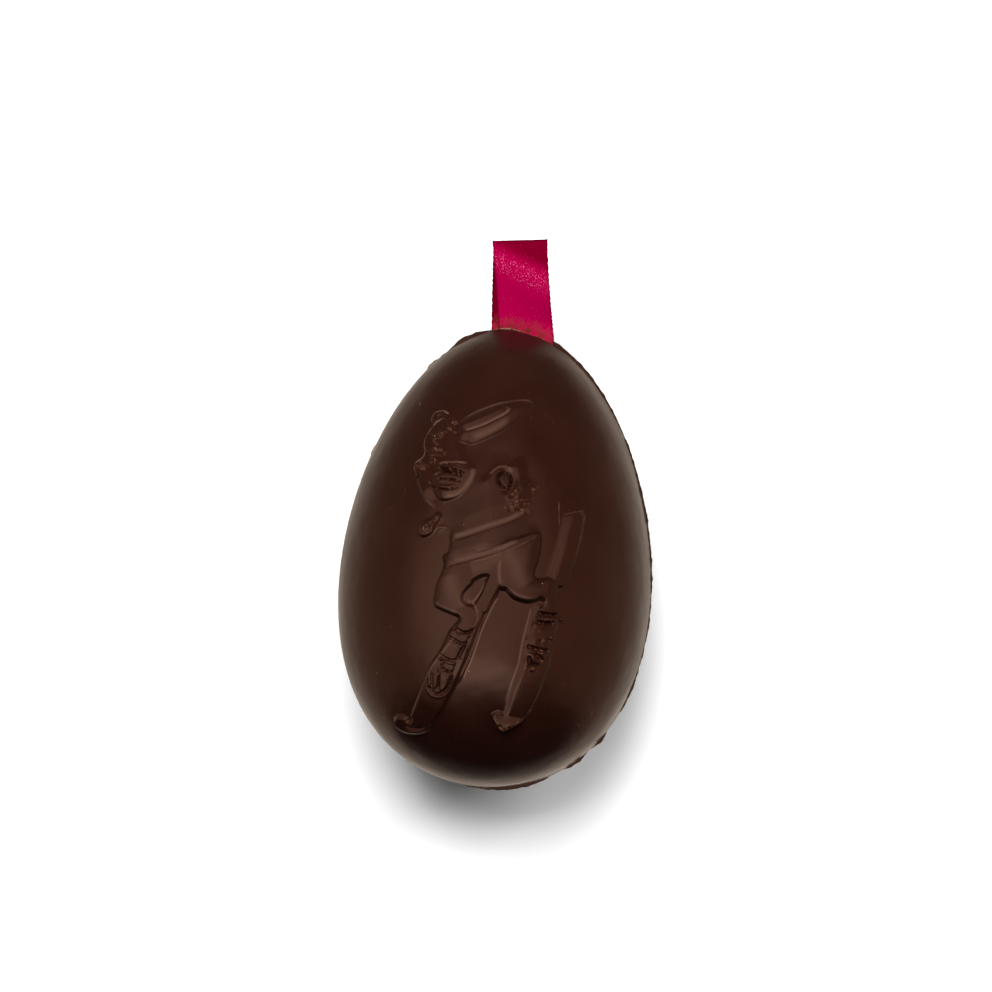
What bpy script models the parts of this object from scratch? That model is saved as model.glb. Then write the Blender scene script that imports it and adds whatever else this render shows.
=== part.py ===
"""A moulded chocolate egg on its back: two halves joined at a seam, and a ribbon loop.

The front half carries a rabbit on skis in low relief. The plain back half rests on a
small flat spot. The satin ribbon is clamped between the halves at the pointed end.

Frame: +Z up, +Y from the blunt end to the ribbon, +X to the right seen from above.
The origin is the centre of the flat spot, below the broadest station of the egg.
"""

import math

import bmesh
import bpy
from mathutils import Matrix, Vector

MM = 0.001

# The egg. Both halves come from one mould size; they were joined with a small slip.
HALF_LENGTH = 84.4 * MM
HALF_WIDTH = 57.5 * MM
BROAD_SHIFT = 6.6 * MM
JOIN_SLIP = Vector((-0.5 * MM, -0.6 * MM, 0.0))
REST_CUT = 0.6 * MM
SEAM_Z = HALF_WIDTH / 2 - REST_CUT
TOUCH_GAP = 0.3 * MM
EGG_STATIONS = 36
EGG_STEPS = 64

# The relief: heights above the egg's own surface.
HEIGHT_SKI = 0.5 * MM
HEIGHT_MITTEN = 0.6 * MM
HEIGHT_EAR = 0.7 * MM
HEIGHT_BOOT = 0.75 * MM
HEIGHT_HEAD = 0.85 * MM
HEIGHT_CHEST = 0.65 * MM
HEIGHT_BODY = 0.95 * MM
HEIGHT_STRAP = 1.0 * MM
HEIGHT_THIGH = 1.15 * MM
FLOOR_HOLLOW = 0.12 * MM
GROOVE_RADIUS = 0.28 * MM
COLUMN_FOOT = 6.0 * MM
COLUMN_HEAD = 34.0 * MM
OUTLINE_STEPS = 3

# The ribbon: 10 mm satin, doubled into a loop, its ends clamped in the seam.
RIBBON_WIDTH = 10.0 * MM
RIBBON_THICKNESS = 0.3 * MM
LOOP_BASE = Vector((2.0 * MM, 47.4 * MM, SEAM_Z))
LOOP_TILT = math.radians(5.1)
LOOP_REACH = 17.9 * MM
LOOP_DEPTH = 7.0 * MM
TAIL_LENGTH = 5.0 * MM
TAIL_THICKNESS = 2 * RIBBON_THICKNESS
LEG_STATIONS = 9
BOW_STATIONS = 12

# Outlines of the figure in mm: x to the right and y to the ribbon end, from the
# broadest station of the front half.
EAR = [(-7.6, 31.5), (-3.9, 33.9), (-0.4, 35.5), (3.0, 36.3), (5.2, 36.1), (5.5, 35.1),
       (3.0, 32.5), (0.0, 30.4), (-3.4, 28.5), (-5.4, 27.9), (-7.4, 28.4)]
EAR_HOLLOW = [(-6.2, 29.9), (-3.6, 31.8), (-0.6, 33.4), (1.8, 34.3), (0.4, 32.8),
              (-2.4, 31.0)]
FAR_EAR_CENTRE = (-10.6, 31.7)
FAR_EAR_RADIUS = 1.65
HEAD = [(-8.4, 32.3), (-10.9, 31.4), (-12.6, 29.3), (-13.2, 26.6), (-13.8, 24.6),
        (-14.7, 23.4), (-14.2, 22.0), (-13.5, 21.5), (-13.9, 20.5), (-13.0, 18.6),
        (-11.2, 16.8), (-9.1, 17.4), (-6.5, 18.5), (-4.3, 20.7), (-3.5, 23.2),
        (-4.2, 25.7), (-5.8, 27.9), (-6.6, 30.2)]
MITTEN = [(-1.9, 21.2), (-0.9, 22.7), (0.6, 24.2), (2.2, 25.2), (3.6, 26.6), (4.9, 26.1),
          (5.6, 23.6), (6.8, 21.2), (6.4, 18.4), (5.4, 16.8), (2.6, 15.8), (1.2, 17.8),
          (1.9, 20.0), (0.2, 20.3)]
RING_CENTRE = (1.35, 22.1)
RING_RADIUS = 1.2
HAND = [(-13.2, 12.6), (-12.6, 13.9), (-10.9, 14.6), (-10.0, 15.7), (-9.0, 15.5),
        (-9.4, 13.6), (-10.2, 12.0), (-11.4, 11.2), (-12.8, 11.4)]
CHEST = [(-7.6, 13.8), (-4.0, 15.0), (0.0, 16.4), (4.2, 17.4), (5.9, 17.2), (5.7, 16.6),
         (2.1, 14.7), (-3.0, 12.6), (-7.3, 11.2)]
BODY = [(-7.6, 12.0), (-3.0, 13.0), (2.1, 15.0), (5.6, 16.9), (7.4, 15.7), (8.3, 12.5),
        (8.4, 9.4), (7.5, 5.8), (7.2, 3.0), (1.8, 3.4), (-2.0, 1.0), (-6.0, 0.6),
        (-9.1, 1.6), (-8.5, 5.0), (-7.6, 8.3)]
FRONT_THIGH = [(-7.0, 6.4), (-3.4, 7.2), (-0.2, 6.8), (-1.8, 4.8), (-3.9, 2.4), (-3.9, 0.6),
               (-2.4, 0.2), (-1.3, -1.7), (-1.8, -4.3), (-4.2, -4.6), (-5.2, -3.8),
               (-5.3, -2.2), (-8.0, -1.1), (-9.3, -0.3), (-9.2, 2.3), (-8.3, 4.8)]
BACK_THIGH = [(1.8, 7.0), (4.0, 9.0), (7.0, 8.4), (7.9, 6.2), (9.6, 5.8), (11.2, 5.2),
              (12.1, 3.6), (12.2, -1.0), (8.0, -0.6), (8.6, 1.3), (5.1, 1.4), (3.0, 2.7),
              (1.8, 3.4)]
LEG_WINDOW = [(-0.6, 5.1), (-2.9, 3.7), (-4.1, 1.7), (-3.1, 0.4), (-1.8, 1.2),
              (-0.9, 3.2)]
NEAR_SKI = [(1.8, 3.2), (0.0, -0.8), (-1.6, -5.8), (-4.3, -13.6), (-6.8, -19.4),
            (-9.0, -22.9), (-12.0, -24.3), (-14.6, -23.9), (-15.3, -21.8), (-14.4, -20.8),
            (-12.7, -21.2), (-11.0, -16.2), (-9.3, -10.5), (-5.9, -3.9), (-3.0, 1.0)]
FAR_SKI = [(8.0, 0.9), (6.2, -5.5), (5.9, -9.8), (4.6, -14.4), (3.8, -18.0), (2.2, -18.4),
           (2.0, -20.1), (3.6, -21.9), (6.4, -20.5), (8.7, -18.1), (10.8, -12.4),
           (12.4, -5.1), (12.6, 0.8)]
SKI_TAIL = [(9.6, 5.2), (10.7, 10.2), (11.9, 16.7), (14.0, 17.3), (15.8, 17.6),
            (15.6, 13.0), (14.9, 9.2), (12.8, 3.4)]
NEAR_BOOT = [(-5.9, -4.0), (-2.4, -4.4), (-3.6, -8.4), (-5.0, -11.9), (-7.6, -11.2),
             (-7.8, -8.7)]
FAR_BOOT = [(8.2, -1.4), (12.6, -1.2), (11.5, -5.6), (9.9, -9.2), (7.4, -8.6),
            (7.1, -5.4)]
NEAR_STRAPS = [((-6.6, -6.3), (-3.3, -7.4)), ((-7.6, -9.4), (-4.4, -10.2)),
               ((-9.3, -14.3), (-5.9, -14.3))]
FAR_STRAPS = [((8.3, -2.0), (12.2, -1.9)), ((7.3, -5.0), (11.6, -5.2)),
              ((6.9, -8.6), (9.9, -8.2))]
STRAP_WIDTH = 0.5
WAIST_GROOVES = [[(-7.4, 11.2), (-3.0, 12.7), (2.1, 14.8), (5.9, 16.9)],
                 [(-7.8, 6.7), (-2.7, 8.4), (2.4, 10.3), (7.4, 12.7)]]
CHEEK_GROOVES = [[(-10.2, 23.5), (-7.7, 23.8), (-5.2, 23.4)],
                 [(-10.6, 21.8), (-8.0, 22.4), (-5.5, 22.0)],
                 [(-11.6, 20.9), (-9.8, 19.9), (-7.6, 19.7), (-5.9, 20.6)]]


def clear_scene():
    """Remove every object, so that the file holds the egg alone."""
    for old in list(bpy.data.objects):
        bpy.data.objects.remove(old, do_unlink=True)


def new_collection(name):
    """A collection of that name, linked to the scene."""
    made = bpy.data.collections.new(name)
    bpy.context.scene.collection.children.link(made)
    return made


def principled(name, colour, roughness):
    """A plain Principled material."""
    made = bpy.data.materials.new(name)
    made.use_nodes = True
    shader = made.node_tree.nodes["Principled BSDF"]
    shader.inputs["Base Color"].default_value = (*colour, 1.0)
    shader.inputs["Roughness"].default_value = roughness
    shader.inputs["Metallic"].default_value = 0.0
    return made


def add_object(name, data, collection):
    """An object that shows the data, in the collection."""
    made = bpy.data.objects.new(name, data)
    collection.objects.link(made)
    return made


def as_cutter(piece):
    """Mark a piece as a helper: it shapes other pieces and isn't part of the egg."""
    piece.hide_render = True
    piece.display_type = "WIRE"
    return piece


def settle(piece):
    """Replace a curve or a modified object by its evaluated mesh, welded."""
    graph = bpy.context.evaluated_depsgraph_get()
    mesh = bpy.data.meshes.new_from_object(piece.evaluated_get(graph))
    welded = bmesh.new()
    welded.from_mesh(mesh)
    bmesh.ops.remove_doubles(welded, verts=welded.verts, dist=1e-6)
    bmesh.ops.recalc_face_normals(welded, faces=welded.faces)
    welded.to_mesh(mesh)
    welded.free()
    made = add_object(piece.name + "_solid", mesh, piece.users_collection[0])
    made.matrix_world = piece.matrix_world.copy()
    bpy.data.objects.remove(piece, do_unlink=True)
    return made


def boolean(piece, operation, other):
    """Add an exact Boolean with another solid to the piece."""
    step = piece.modifiers.new(operation.lower(), "BOOLEAN")
    step.operation = operation
    step.object = other
    step.solver = "EXACT"


def egg_radius(station, swell=0.0):
    """The egg's radius at a distance along +Y from its broadest station.

    This is the egg curve of two crossed circles: an ellipse whose widest point has
    moved by BROAD_SHIFT towards the blunt end. swell makes the egg larger all round.
    """
    length = HALF_LENGTH + 2 * swell
    width = HALF_WIDTH + 2 * swell
    along = station - BROAD_SHIFT
    chord = max(length ** 2 - 4 * along ** 2, 0.0)
    return width / 2 * math.sqrt(
        chord / (length ** 2 + 8 * BROAD_SHIFT * along + 4 * BROAD_SHIFT ** 2))


def whole_egg(name, collection, swell=0.0):
    """A turned egg around +Y through the seam plane, its broadest station at y = 0."""
    reach = HALF_LENGTH / 2 + swell
    profile = bmesh.new()
    previous = None
    for index in range(EGG_STATIONS + 1):
        turn = math.pi * index / EGG_STATIONS
        station = BROAD_SHIFT - reach * math.cos(turn)
        pole = index in (0, EGG_STATIONS)
        radius = 0.0 if pole else egg_radius(station, swell)
        vertex = profile.verts.new((radius, station, 0.0))
        if previous is not None:
            profile.edges.new((previous, vertex))
        previous = vertex
    mesh = bpy.data.meshes.new(name)
    profile.to_mesh(mesh)
    profile.free()
    piece = add_object(name, mesh, collection)
    screw = piece.modifiers.new("turn", "SCREW")
    screw.axis = "Y"
    screw.angle = math.tau
    screw.steps = EGG_STEPS
    screw.render_steps = EGG_STEPS
    screw.use_merge_vertices = True
    screw.merge_threshold = 0.00001
    bpy.context.view_layer.update()
    return settle(piece)


def block(name, collection, low, high):
    """A box between two corners, as a cutter."""
    form = bmesh.new()
    bmesh.ops.create_cube(form, size=1.0)
    size = [high[axis] - low[axis] for axis in range(3)]
    middle = [(high[axis] + low[axis]) / 2 for axis in range(3)]
    bmesh.ops.scale(form, vec=size, verts=form.verts)
    bmesh.ops.translate(form, vec=middle, verts=form.verts)
    mesh = bpy.data.meshes.new(name)
    form.to_mesh(mesh)
    form.free()
    return as_cutter(add_object(name, mesh, collection))


def column(name, collection, outline, smooth=True):
    """An upright column over a closed outline in mm, from inside the egg to above it."""
    drawn = bpy.data.curves.new(name, "CURVE")
    drawn.dimensions = "2D"
    drawn.fill_mode = "BOTH"
    drawn.resolution_u = OUTLINE_STEPS
    drawn.extrude = (COLUMN_HEAD - COLUMN_FOOT) / 2
    spline = drawn.splines.new("BEZIER")
    spline.bezier_points.add(len(outline) - 1)
    for point, (x, y) in zip(spline.bezier_points, outline):
        point.co = (x * MM, y * MM, 0.0)
        point.handle_left_type = "AUTO" if smooth else "VECTOR"
        point.handle_right_type = "AUTO" if smooth else "VECTOR"
    spline.use_cyclic_u = True
    piece = add_object(name, drawn, collection)
    piece.location.z = (COLUMN_HEAD + COLUMN_FOOT) / 2
    bpy.context.view_layer.update()
    return as_cutter(settle(piece))


def disc_outline(centre, radius, count=12):
    """Points around a circle."""
    turns = [math.tau * index / count for index in range(count)]
    return [(centre[0] + radius * math.cos(turn), centre[1] + radius * math.sin(turn))
            for turn in turns]


def bar_outline(start, end, width):
    """The four corners of a straight bar between two points."""
    along = (Vector(end) - Vector(start)).normalized()
    aside = Vector((-along.y, along.x)) * width / 2
    corners = [Vector(start) - aside, Vector(end) - aside,
               Vector(end) + aside, Vector(start) + aside]
    return [tuple(corner) for corner in corners]


def groove(name, collection, path, height):
    """A round tube along a path in mm that runs on the relief at that height."""
    drawn = bpy.data.curves.new(name, "CURVE")
    drawn.dimensions = "3D"
    drawn.bevel_depth = GROOVE_RADIUS
    drawn.bevel_resolution = 1
    drawn.use_fill_caps = True
    drawn.resolution_u = OUTLINE_STEPS
    spline = drawn.splines.new("BEZIER")
    spline.bezier_points.add(len(path) - 1)
    for point, (x, y) in zip(spline.bezier_points, path):
        radius = egg_radius(y * MM, height)
        point.co = (x * MM, y * MM, math.sqrt(radius ** 2 - (x * MM) ** 2))
        point.handle_left_type = "AUTO"
        point.handle_right_type = "AUTO"
    piece = add_object(name, drawn, collection)
    bpy.context.view_layer.update()
    return as_cutter(settle(piece))


def relief_pads():
    """Every raised area: its name, its outline, its height and if its edge is smooth."""
    pads = [
        ("near_ski", NEAR_SKI, HEIGHT_SKI, True),
        ("far_ski", FAR_SKI, HEIGHT_SKI + 0.02 * MM, True),
        ("ski_tail", SKI_TAIL, HEIGHT_SKI + 0.04 * MM, True),
        ("mitten", MITTEN, HEIGHT_MITTEN, True),
        ("hand", HAND, HEIGHT_MITTEN + 0.02 * MM, True),
        ("far_ear", disc_outline(FAR_EAR_CENTRE, FAR_EAR_RADIUS), HEIGHT_EAR, True),
        ("ear", EAR, HEIGHT_EAR + 0.04 * MM, True),
        ("head", HEAD, HEIGHT_HEAD, True),
        ("near_boot", NEAR_BOOT, HEIGHT_BOOT, True),
        ("far_boot", FAR_BOOT, HEIGHT_BOOT + 0.02 * MM, True),
        ("chest", CHEST, HEIGHT_CHEST, True),
        ("body", BODY, HEIGHT_BODY, True),
        ("front_thigh", FRONT_THIGH, HEIGHT_THIGH, True),
        ("back_thigh", BACK_THIGH, HEIGHT_THIGH + 0.04 * MM, True),
    ]
    for index, (start, end) in enumerate(NEAR_STRAPS + FAR_STRAPS):
        outline = bar_outline(start, end, STRAP_WIDTH)
        pads.append((f"strap_{index}", outline, HEIGHT_STRAP, False))
    return pads


def build_front(parts, cutters, material, pocket):
    """The front half: a half egg, the pads joined to it, and the hollows cut in them."""
    front = whole_egg("front_egg", parts)
    shapes = []
    for name, outline, height, smooth in relief_pads():
        skin = as_cutter(whole_egg(name + "_skin", cutters, height))
        pad = column(name, cutters, outline, smooth)
        boolean(pad, "INTERSECT", skin)
        boolean(front, "UNION", pad)
        shapes += [skin, pad]
    hollows = [("ear_hollow", EAR_HOLLOW), ("leg_window", LEG_WINDOW),
               ("ring_hollow", disc_outline(RING_CENTRE, RING_RADIUS))]
    for name, outline in hollows:
        floor = as_cutter(whole_egg(name + "_floor", cutters, FLOOR_HOLLOW))
        cut = column(name, cutters, outline)
        boolean(cut, "DIFFERENCE", floor)
        boolean(front, "DIFFERENCE", cut)
        shapes += [floor, cut]
    lines = [(path, HEIGHT_BODY) for path in WAIST_GROOVES]
    lines += [(path, HEIGHT_HEAD) for path in CHEEK_GROOVES]
    for index, (path, height) in enumerate(lines):
        cut = groove(f"groove_{index}", cutters, path, height)
        boolean(front, "DIFFERENCE", cut)
        shapes.append(cut)
    for piece in [front] + shapes:
        piece.location = piece.location + JOIN_SLIP + Vector((0.0, 0.0, SEAM_Z))
    span = HALF_LENGTH
    below = block("below_seam", cutters, (-span, -span, SEAM_Z - span),
                  (span, span, SEAM_Z + TOUCH_GAP / 2))
    boolean(front, "DIFFERENCE", below)
    boolean(front, "DIFFERENCE", pocket)
    front.name = "shell_front"
    front.data.materials.append(material)
    return front


def build_back(parts, cutters, material, pocket):
    """The plain back half, with the flat spot that it rests on."""
    back = whole_egg("back_egg", parts)
    back.location.z = SEAM_Z
    span = HALF_LENGTH
    above = block("above_seam", cutters, (-span, -span, SEAM_Z - TOUCH_GAP / 2),
                  (span, span, SEAM_Z + span))
    ground = block("ground", cutters, (-span, -span, -span), (span, span, 0.0))
    boolean(back, "DIFFERENCE", above)
    boolean(back, "DIFFERENCE", ground)
    boolean(back, "DIFFERENCE", pocket)
    back.name = "shell_back"
    back.data.materials.append(material)
    return back


def loop_side(half_depth, top_reach, foot_half):
    """One side line of the loop, from its foot at the seam to the top of the bow.

    The leg leaves the seam flat, swings out on a smooth step to half_depth, and ends
    in a half circle of that radius. The points are (along, out) in metres.
    """
    bow_start = top_reach - half_depth
    points = []
    for index in range(LEG_STATIONS):
        share = index / LEG_STATIONS
        out = foot_half + (half_depth - foot_half) * math.sin(share * math.pi / 2) ** 1.5
        points.append((bow_start * share, out))
    for index in range(BOW_STATIONS // 2 + 1):
        turn = math.pi * index / BOW_STATIONS
        points.append((bow_start + half_depth * math.sin(turn),
                       half_depth * math.cos(turn)))
    return points


def closed_loop(side):
    """Mirror a side line into a closed outline, the point at the top used once."""
    mirrored = [(along, -out) for along, out in reversed(side[:-1])]
    return side + mirrored


def build_ribbon(parts, material):
    """The ribbon: a teardrop loop and the doubled tail that the seam clamps."""
    outer = loop_side(LOOP_DEPTH / 2, LOOP_REACH, TAIL_THICKNESS / 2)
    outer = [(-TAIL_LENGTH, TAIL_THICKNESS / 2)] + outer
    inner_side = []
    for along, out in loop_side(LOOP_DEPTH / 2 - RIBBON_THICKNESS,
                                LOOP_REACH - RIBBON_THICKNESS, 0.0):
        if along > 2.0 * MM:
            inner_side.append((along, out))
    foot = (1.6 * MM, 0.0)
    drawn = bpy.data.curves.new("ribbon", "CURVE")
    drawn.dimensions = "2D"
    drawn.fill_mode = "BOTH"
    drawn.extrude = RIBBON_WIDTH / 2
    for outline in (closed_loop(outer), [foot] + closed_loop(inner_side)):
        spline = drawn.splines.new("POLY")
        spline.points.add(len(outline) - 1)
        for point, (along, out) in zip(spline.points, outline):
            point.co = (along, out, 0.0, 1.0)
        spline.use_cyclic_u = True
    piece = add_object("ribbon", drawn, parts)
    # The drawing's x runs along the ribbon, its y across the loop and z over the width.
    upright = Matrix(((0, 0, 1), (1, 0, 0), (0, 1, 0))).to_4x4()
    lean = Matrix.Rotation(LOOP_TILT, 4, "Z")
    piece.matrix_world = Matrix.Translation(LOOP_BASE) @ lean @ upright
    bpy.context.view_layer.update()
    ribbon = settle(piece)
    ribbon.name = "ribbon_loop"
    ribbon.data.materials.append(material)
    return ribbon


def build_pocket(cutters):
    """The slot in the seam that the ribbon's doubled tail sits in."""
    half = (RIBBON_WIDTH / 2 + TOUCH_GAP, TAIL_LENGTH + TOUCH_GAP,
            TAIL_THICKNESS / 2 + TOUCH_GAP)
    pocket = block("ribbon_pocket", cutters, (-half[0], -half[1], -half[2]),
                   (half[0], half[1], half[2]))
    lean = Matrix.Rotation(LOOP_TILT, 4, "Z")
    pocket.matrix_world = Matrix.Translation(LOOP_BASE) @ lean
    return pocket


def shade(piece):
    """Shade the turned faces smooth and keep the relief's edges crisp."""
    piece.data.shade_smooth()
    piece.data.set_sharp_from_angle(angle=math.radians(35))


def main():
    """Build the two halves and the ribbon."""
    clear_scene()
    parts = new_collection("chocolate_egg")
    cutters = new_collection("cutters")
    front_chocolate = principled("dark_chocolate_front", (0.030, 0.011, 0.007), 0.32)
    back_chocolate = principled("dark_chocolate_back", (0.030, 0.011, 0.007), 0.36)
    satin = principled("crimson_satin", (0.45, 0.004, 0.075), 0.42)
    pocket = build_pocket(cutters)
    pieces = [build_front(parts, cutters, front_chocolate, pocket),
              build_back(parts, cutters, back_chocolate, pocket),
              build_ribbon(parts, satin)]
    for piece in pieces:
        shade(piece)


main()
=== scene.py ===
"""Looks of a moulded chocolate egg: two tempered halves, a skiing rabbit in relief and a satin loop.

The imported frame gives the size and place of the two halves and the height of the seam. Each piece
of the real thing is a class that holds its sizes, builds its mesh and dresses it.
"""

from __future__ import annotations

import logging
import math
from dataclasses import dataclass, field
from enum import Enum

import bpy
import numpy as np
from mathutils import Matrix, Vector

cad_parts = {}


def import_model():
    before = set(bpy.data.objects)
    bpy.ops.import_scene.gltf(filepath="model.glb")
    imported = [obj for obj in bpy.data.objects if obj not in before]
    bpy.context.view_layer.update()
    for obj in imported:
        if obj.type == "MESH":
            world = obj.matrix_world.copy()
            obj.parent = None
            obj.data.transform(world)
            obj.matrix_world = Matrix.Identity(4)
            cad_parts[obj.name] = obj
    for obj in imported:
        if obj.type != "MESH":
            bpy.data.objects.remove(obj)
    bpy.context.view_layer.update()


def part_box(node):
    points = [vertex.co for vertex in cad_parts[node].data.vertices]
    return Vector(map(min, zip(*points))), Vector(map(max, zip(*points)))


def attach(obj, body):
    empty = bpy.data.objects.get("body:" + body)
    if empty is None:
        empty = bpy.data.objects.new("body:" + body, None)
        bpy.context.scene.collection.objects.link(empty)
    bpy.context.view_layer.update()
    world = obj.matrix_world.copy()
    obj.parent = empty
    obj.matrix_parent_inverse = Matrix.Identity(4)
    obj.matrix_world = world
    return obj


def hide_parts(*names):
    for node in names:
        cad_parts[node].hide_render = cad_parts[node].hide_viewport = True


MM = 0.001
METRE_MM = 1000.0  # over a size in mm, this is the scale of a pattern with that size
CENTRE_MM = 6.3  # bearings round the egg are taken from this point on its long axis
BODY = "root"

# Settings and socket places that many nodes share.
EASED = {"interpolation_type": "SMOOTHSTEP"}
TIMES = {"operation": "MULTIPLY"}
TIMES_PLUS = {"operation": "MULTIPLY_ADD"}
COLOURS = {"data_type": "RGBA"}
WAVE_BANDS = 3.1416  # a wave texture lays about this many bands in a unit
MIX_SHARE, MIX_UNDER, MIX_OVER = 0, 6, 7  # a colour mix's sockets share their names

Path = list[tuple[float, float]]
Source = bpy.types.Node | bpy.types.NodeSocket

log = logging.getLogger("chocolate_egg")


# ---------------------------------------------------------------- small helpers


def linear(code: str) -> tuple[float, float, float, float]:
    """Turn an sRGB hex colour into linear light.

    Args:
        code: Six hex digits, with or without a leading hash.

    Returns:
        Red, green, blue and alpha.
    """
    digits = code.lstrip("#")
    shares = [int(digits[place:place + 2], 16) / 255 for place in (0, 2, 4)]
    light = [s / 12.92 if s <= 0.04045 else ((s + 0.055) / 1.055) ** 2.4 for s in shares]
    return (light[0], light[1], light[2], 1.0)


def fill_sockets(tree: bpy.types.NodeTree, node: bpy.types.Node,
                 inputs: dict[str | int, object] | list[object]) -> None:
    """Fill or link a node's input sockets.

    Args:
        tree: The node tree.
        node: The node.
        inputs: Values by socket name or place, or a list in the sockets' order. An output socket
            is linked, and so is a node, by its first output in use.
    """
    for name, value in enumerate(inputs) if isinstance(inputs, list) else inputs.items():
        if isinstance(value, bpy.types.Node):
            value = next(socket for socket in value.outputs if socket.enabled)
        if isinstance(value, bpy.types.NodeSocket):
            tree.links.new(value, node.inputs[name])
        else:
            node.inputs[name].default_value = value


def add_node(tree: bpy.types.NodeTree, kind: str, settings: dict[str, object] | None = None,
             inputs: dict[str | int, object] | list[object] | None = None) -> bpy.types.Node:
    """Add a node with its settings and links.

    Args:
        tree: The node tree.
        kind: The node's type name, without the ShaderNode in front.
        settings: Attributes of the node.
        inputs: What goes into its sockets, as for fill_sockets.

    Returns:
        The new node.
    """
    node = tree.nodes.new("ShaderNode" + kind)
    for name, value in (settings or {}).items():
        setattr(node, name, value)
    fill_sockets(tree, node, inputs or {})
    return node


def product(tree: bpy.types.NodeTree, *shares: Source | float) -> Source | float:
    """Multiply masks and shares, one after another.

    Args:
        tree: The node tree.
        shares: The masks and numbers to multiply.

    Returns:
        Their product.
    """
    result = shares[0]
    for share in shares[1:]:
        result = add_node(tree, "Math", TIMES, [result, share])
    return result


def cover(tree: bpy.types.NodeTree, under: Source | tuple[float, ...], over: str,
          *shares: Source | float) -> bpy.types.Node:
    """Lay a colour over another, as far as the product of some masks and shares.

    Args:
        tree: The node tree.
        under: The colour below, in linear light.
        over: The colour on top, in sRGB hex.
        shares: Masks and numbers from 0 to 1.

    Returns:
        The colour of the two together.
    """
    return add_node(tree, "Mix", COLOURS, {
        MIX_SHARE: product(tree, *shares), MIX_UNDER: under, MIX_OVER: linear(over)})


def new_material(name: str) -> tuple[bpy.types.Material, bpy.types.NodeTree, bpy.types.Node]:
    """Start a material, and give it with its node tree and its shader.

    Args:
        name: The material's name.

    Returns:
        The material, its node tree and its shader.
    """
    made = bpy.data.materials.new(name)
    made.use_nodes = True
    return made, made.node_tree, made.node_tree.nodes["Principled BSDF"]


def smoothstep(value: np.ndarray) -> np.ndarray:
    """Ease a value from 0 to 1 with flat ends."""
    held = np.clip(value, 0.0, 1.0)
    return held * held * (3.0 - 2.0 * held)


def smooth_path(points: Path, closed: bool, steps: int = 7) -> np.ndarray:
    """Run a smooth curve through a few points.

    Args:
        points: The points in mm. A point given twice makes a corner.
        closed: Whether the curve returns to its start.
        steps: New points for each span.

    Returns:
        The curve's points, one row each. A closed curve repeats its first point.
    """
    base = np.array(points, float)
    if closed:
        padded = np.vstack([base[-1], base, base[0], base[1]])
    else:
        padded = np.vstack([2 * base[0] - base[1], base, 2 * base[-1] - base[-2]])
    spans = []
    share = np.linspace(0.0, 1.0, steps, endpoint=False)[:, None]
    for index in range(len(padded) - 3):
        before, start, end, after = padded[index:index + 4]
        spans.append(0.5 * (
            2 * start
            + (end - before) * share
            + (2 * before - 5 * start + 4 * end - after) * share ** 2
            + (3 * start - before - 3 * end + after) * share ** 3
        ))
    spans.append(padded[-2][None])
    return np.vstack(spans)


def mesh_object(name: str, points: np.ndarray, faces: np.ndarray | list[tuple[int, ...]],
                crisp: float | None = None) -> bpy.types.Object:
    """Make a smooth-shaded mesh object in the scene.

    Args:
        name: The object's name.
        points: Points in metres.
        faces: Point numbers for each face.
        crisp: Edges bent more than this many degrees stay sharp.

    Returns:
        The new object.
    """
    mesh = bpy.data.meshes.new(name)
    listed = faces.tolist() if isinstance(faces, np.ndarray) else faces
    mesh.from_pydata(points.tolist(), [], listed)
    mesh.validate()
    mesh.shade_smooth()
    if crisp is not None:
        mesh.set_sharp_from_angle(angle=math.radians(crisp))
    made = bpy.data.objects.new(name, mesh)
    bpy.context.scene.collection.objects.link(made)
    return made


def add_values(made: bpy.types.Object, name: str, values: np.ndarray) -> None:
    """Store one number for each point of a mesh."""
    layer = made.data.attributes.new(name, "FLOAT", "POINT")
    layer.data.foreach_set("value", values.astype(np.float32).ravel())


def grid_faces(rows: int, columns: int, wrap: bool = False) -> np.ndarray:
    """Quads over a grid of points stored row by row.

    Args:
        rows: How many rows of points.
        columns: How many points in a row.
        wrap: Whether the last column joins the first.

    Returns:
        Four point numbers for each quad.
    """
    across = columns if wrap else columns - 1
    row, column = np.meshgrid(np.arange(rows - 1), np.arange(across), indexing="ij")
    here = row * columns + column
    right = row * columns + (column + 1) % columns
    return np.stack([here, right, right + columns, here + columns], -1).reshape(-1, 4)


def half_faces(rows: int, columns: int) -> np.ndarray:
    """Faces of one half of the egg: its curved skin and the flat wall along the seam.

    Args:
        rows: How many rows of points from pole to pole.
        columns: How many points from one side of the seam to the other.

    Returns:
        Four point numbers for each face.
    """
    first = np.arange(rows - 1) * columns
    last = first + columns - 1
    wall = np.stack([first + columns, first, last, last + columns], -1)
    return np.vstack([grid_faces(rows, columns), wall])[:, ::-1]


def uneven_steps(start: float, end: float, dense: tuple[float, float], share: float,
                 count: int) -> np.ndarray:
    """Places from start to end that lie close together inside a stretch.

    Args:
        start: The first place.
        end: The last place.
        dense: The stretch with the close places.
        share: The part of all places that goes to the stretch.
        count: How many places.

    Returns:
        The places in order.
    """
    fine = np.linspace(start, end, 4001)
    blend = 0.06 * (end - start)
    inside = smoothstep((fine - dense[0]) / blend + 0.5)
    inside = inside * smoothstep((dense[1] - fine) / blend + 0.5)
    weight = share * inside / inside.sum() + (1 - share) * (1 - inside) / (1 - inside).sum()
    run = np.concatenate([[0.0], np.cumsum((weight[1:] + weight[:-1]) / 2)])
    return np.interp(np.linspace(0.0, run[-1], count), run, fine)


# ---------------------------------------------------------------- the egg's form


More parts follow.
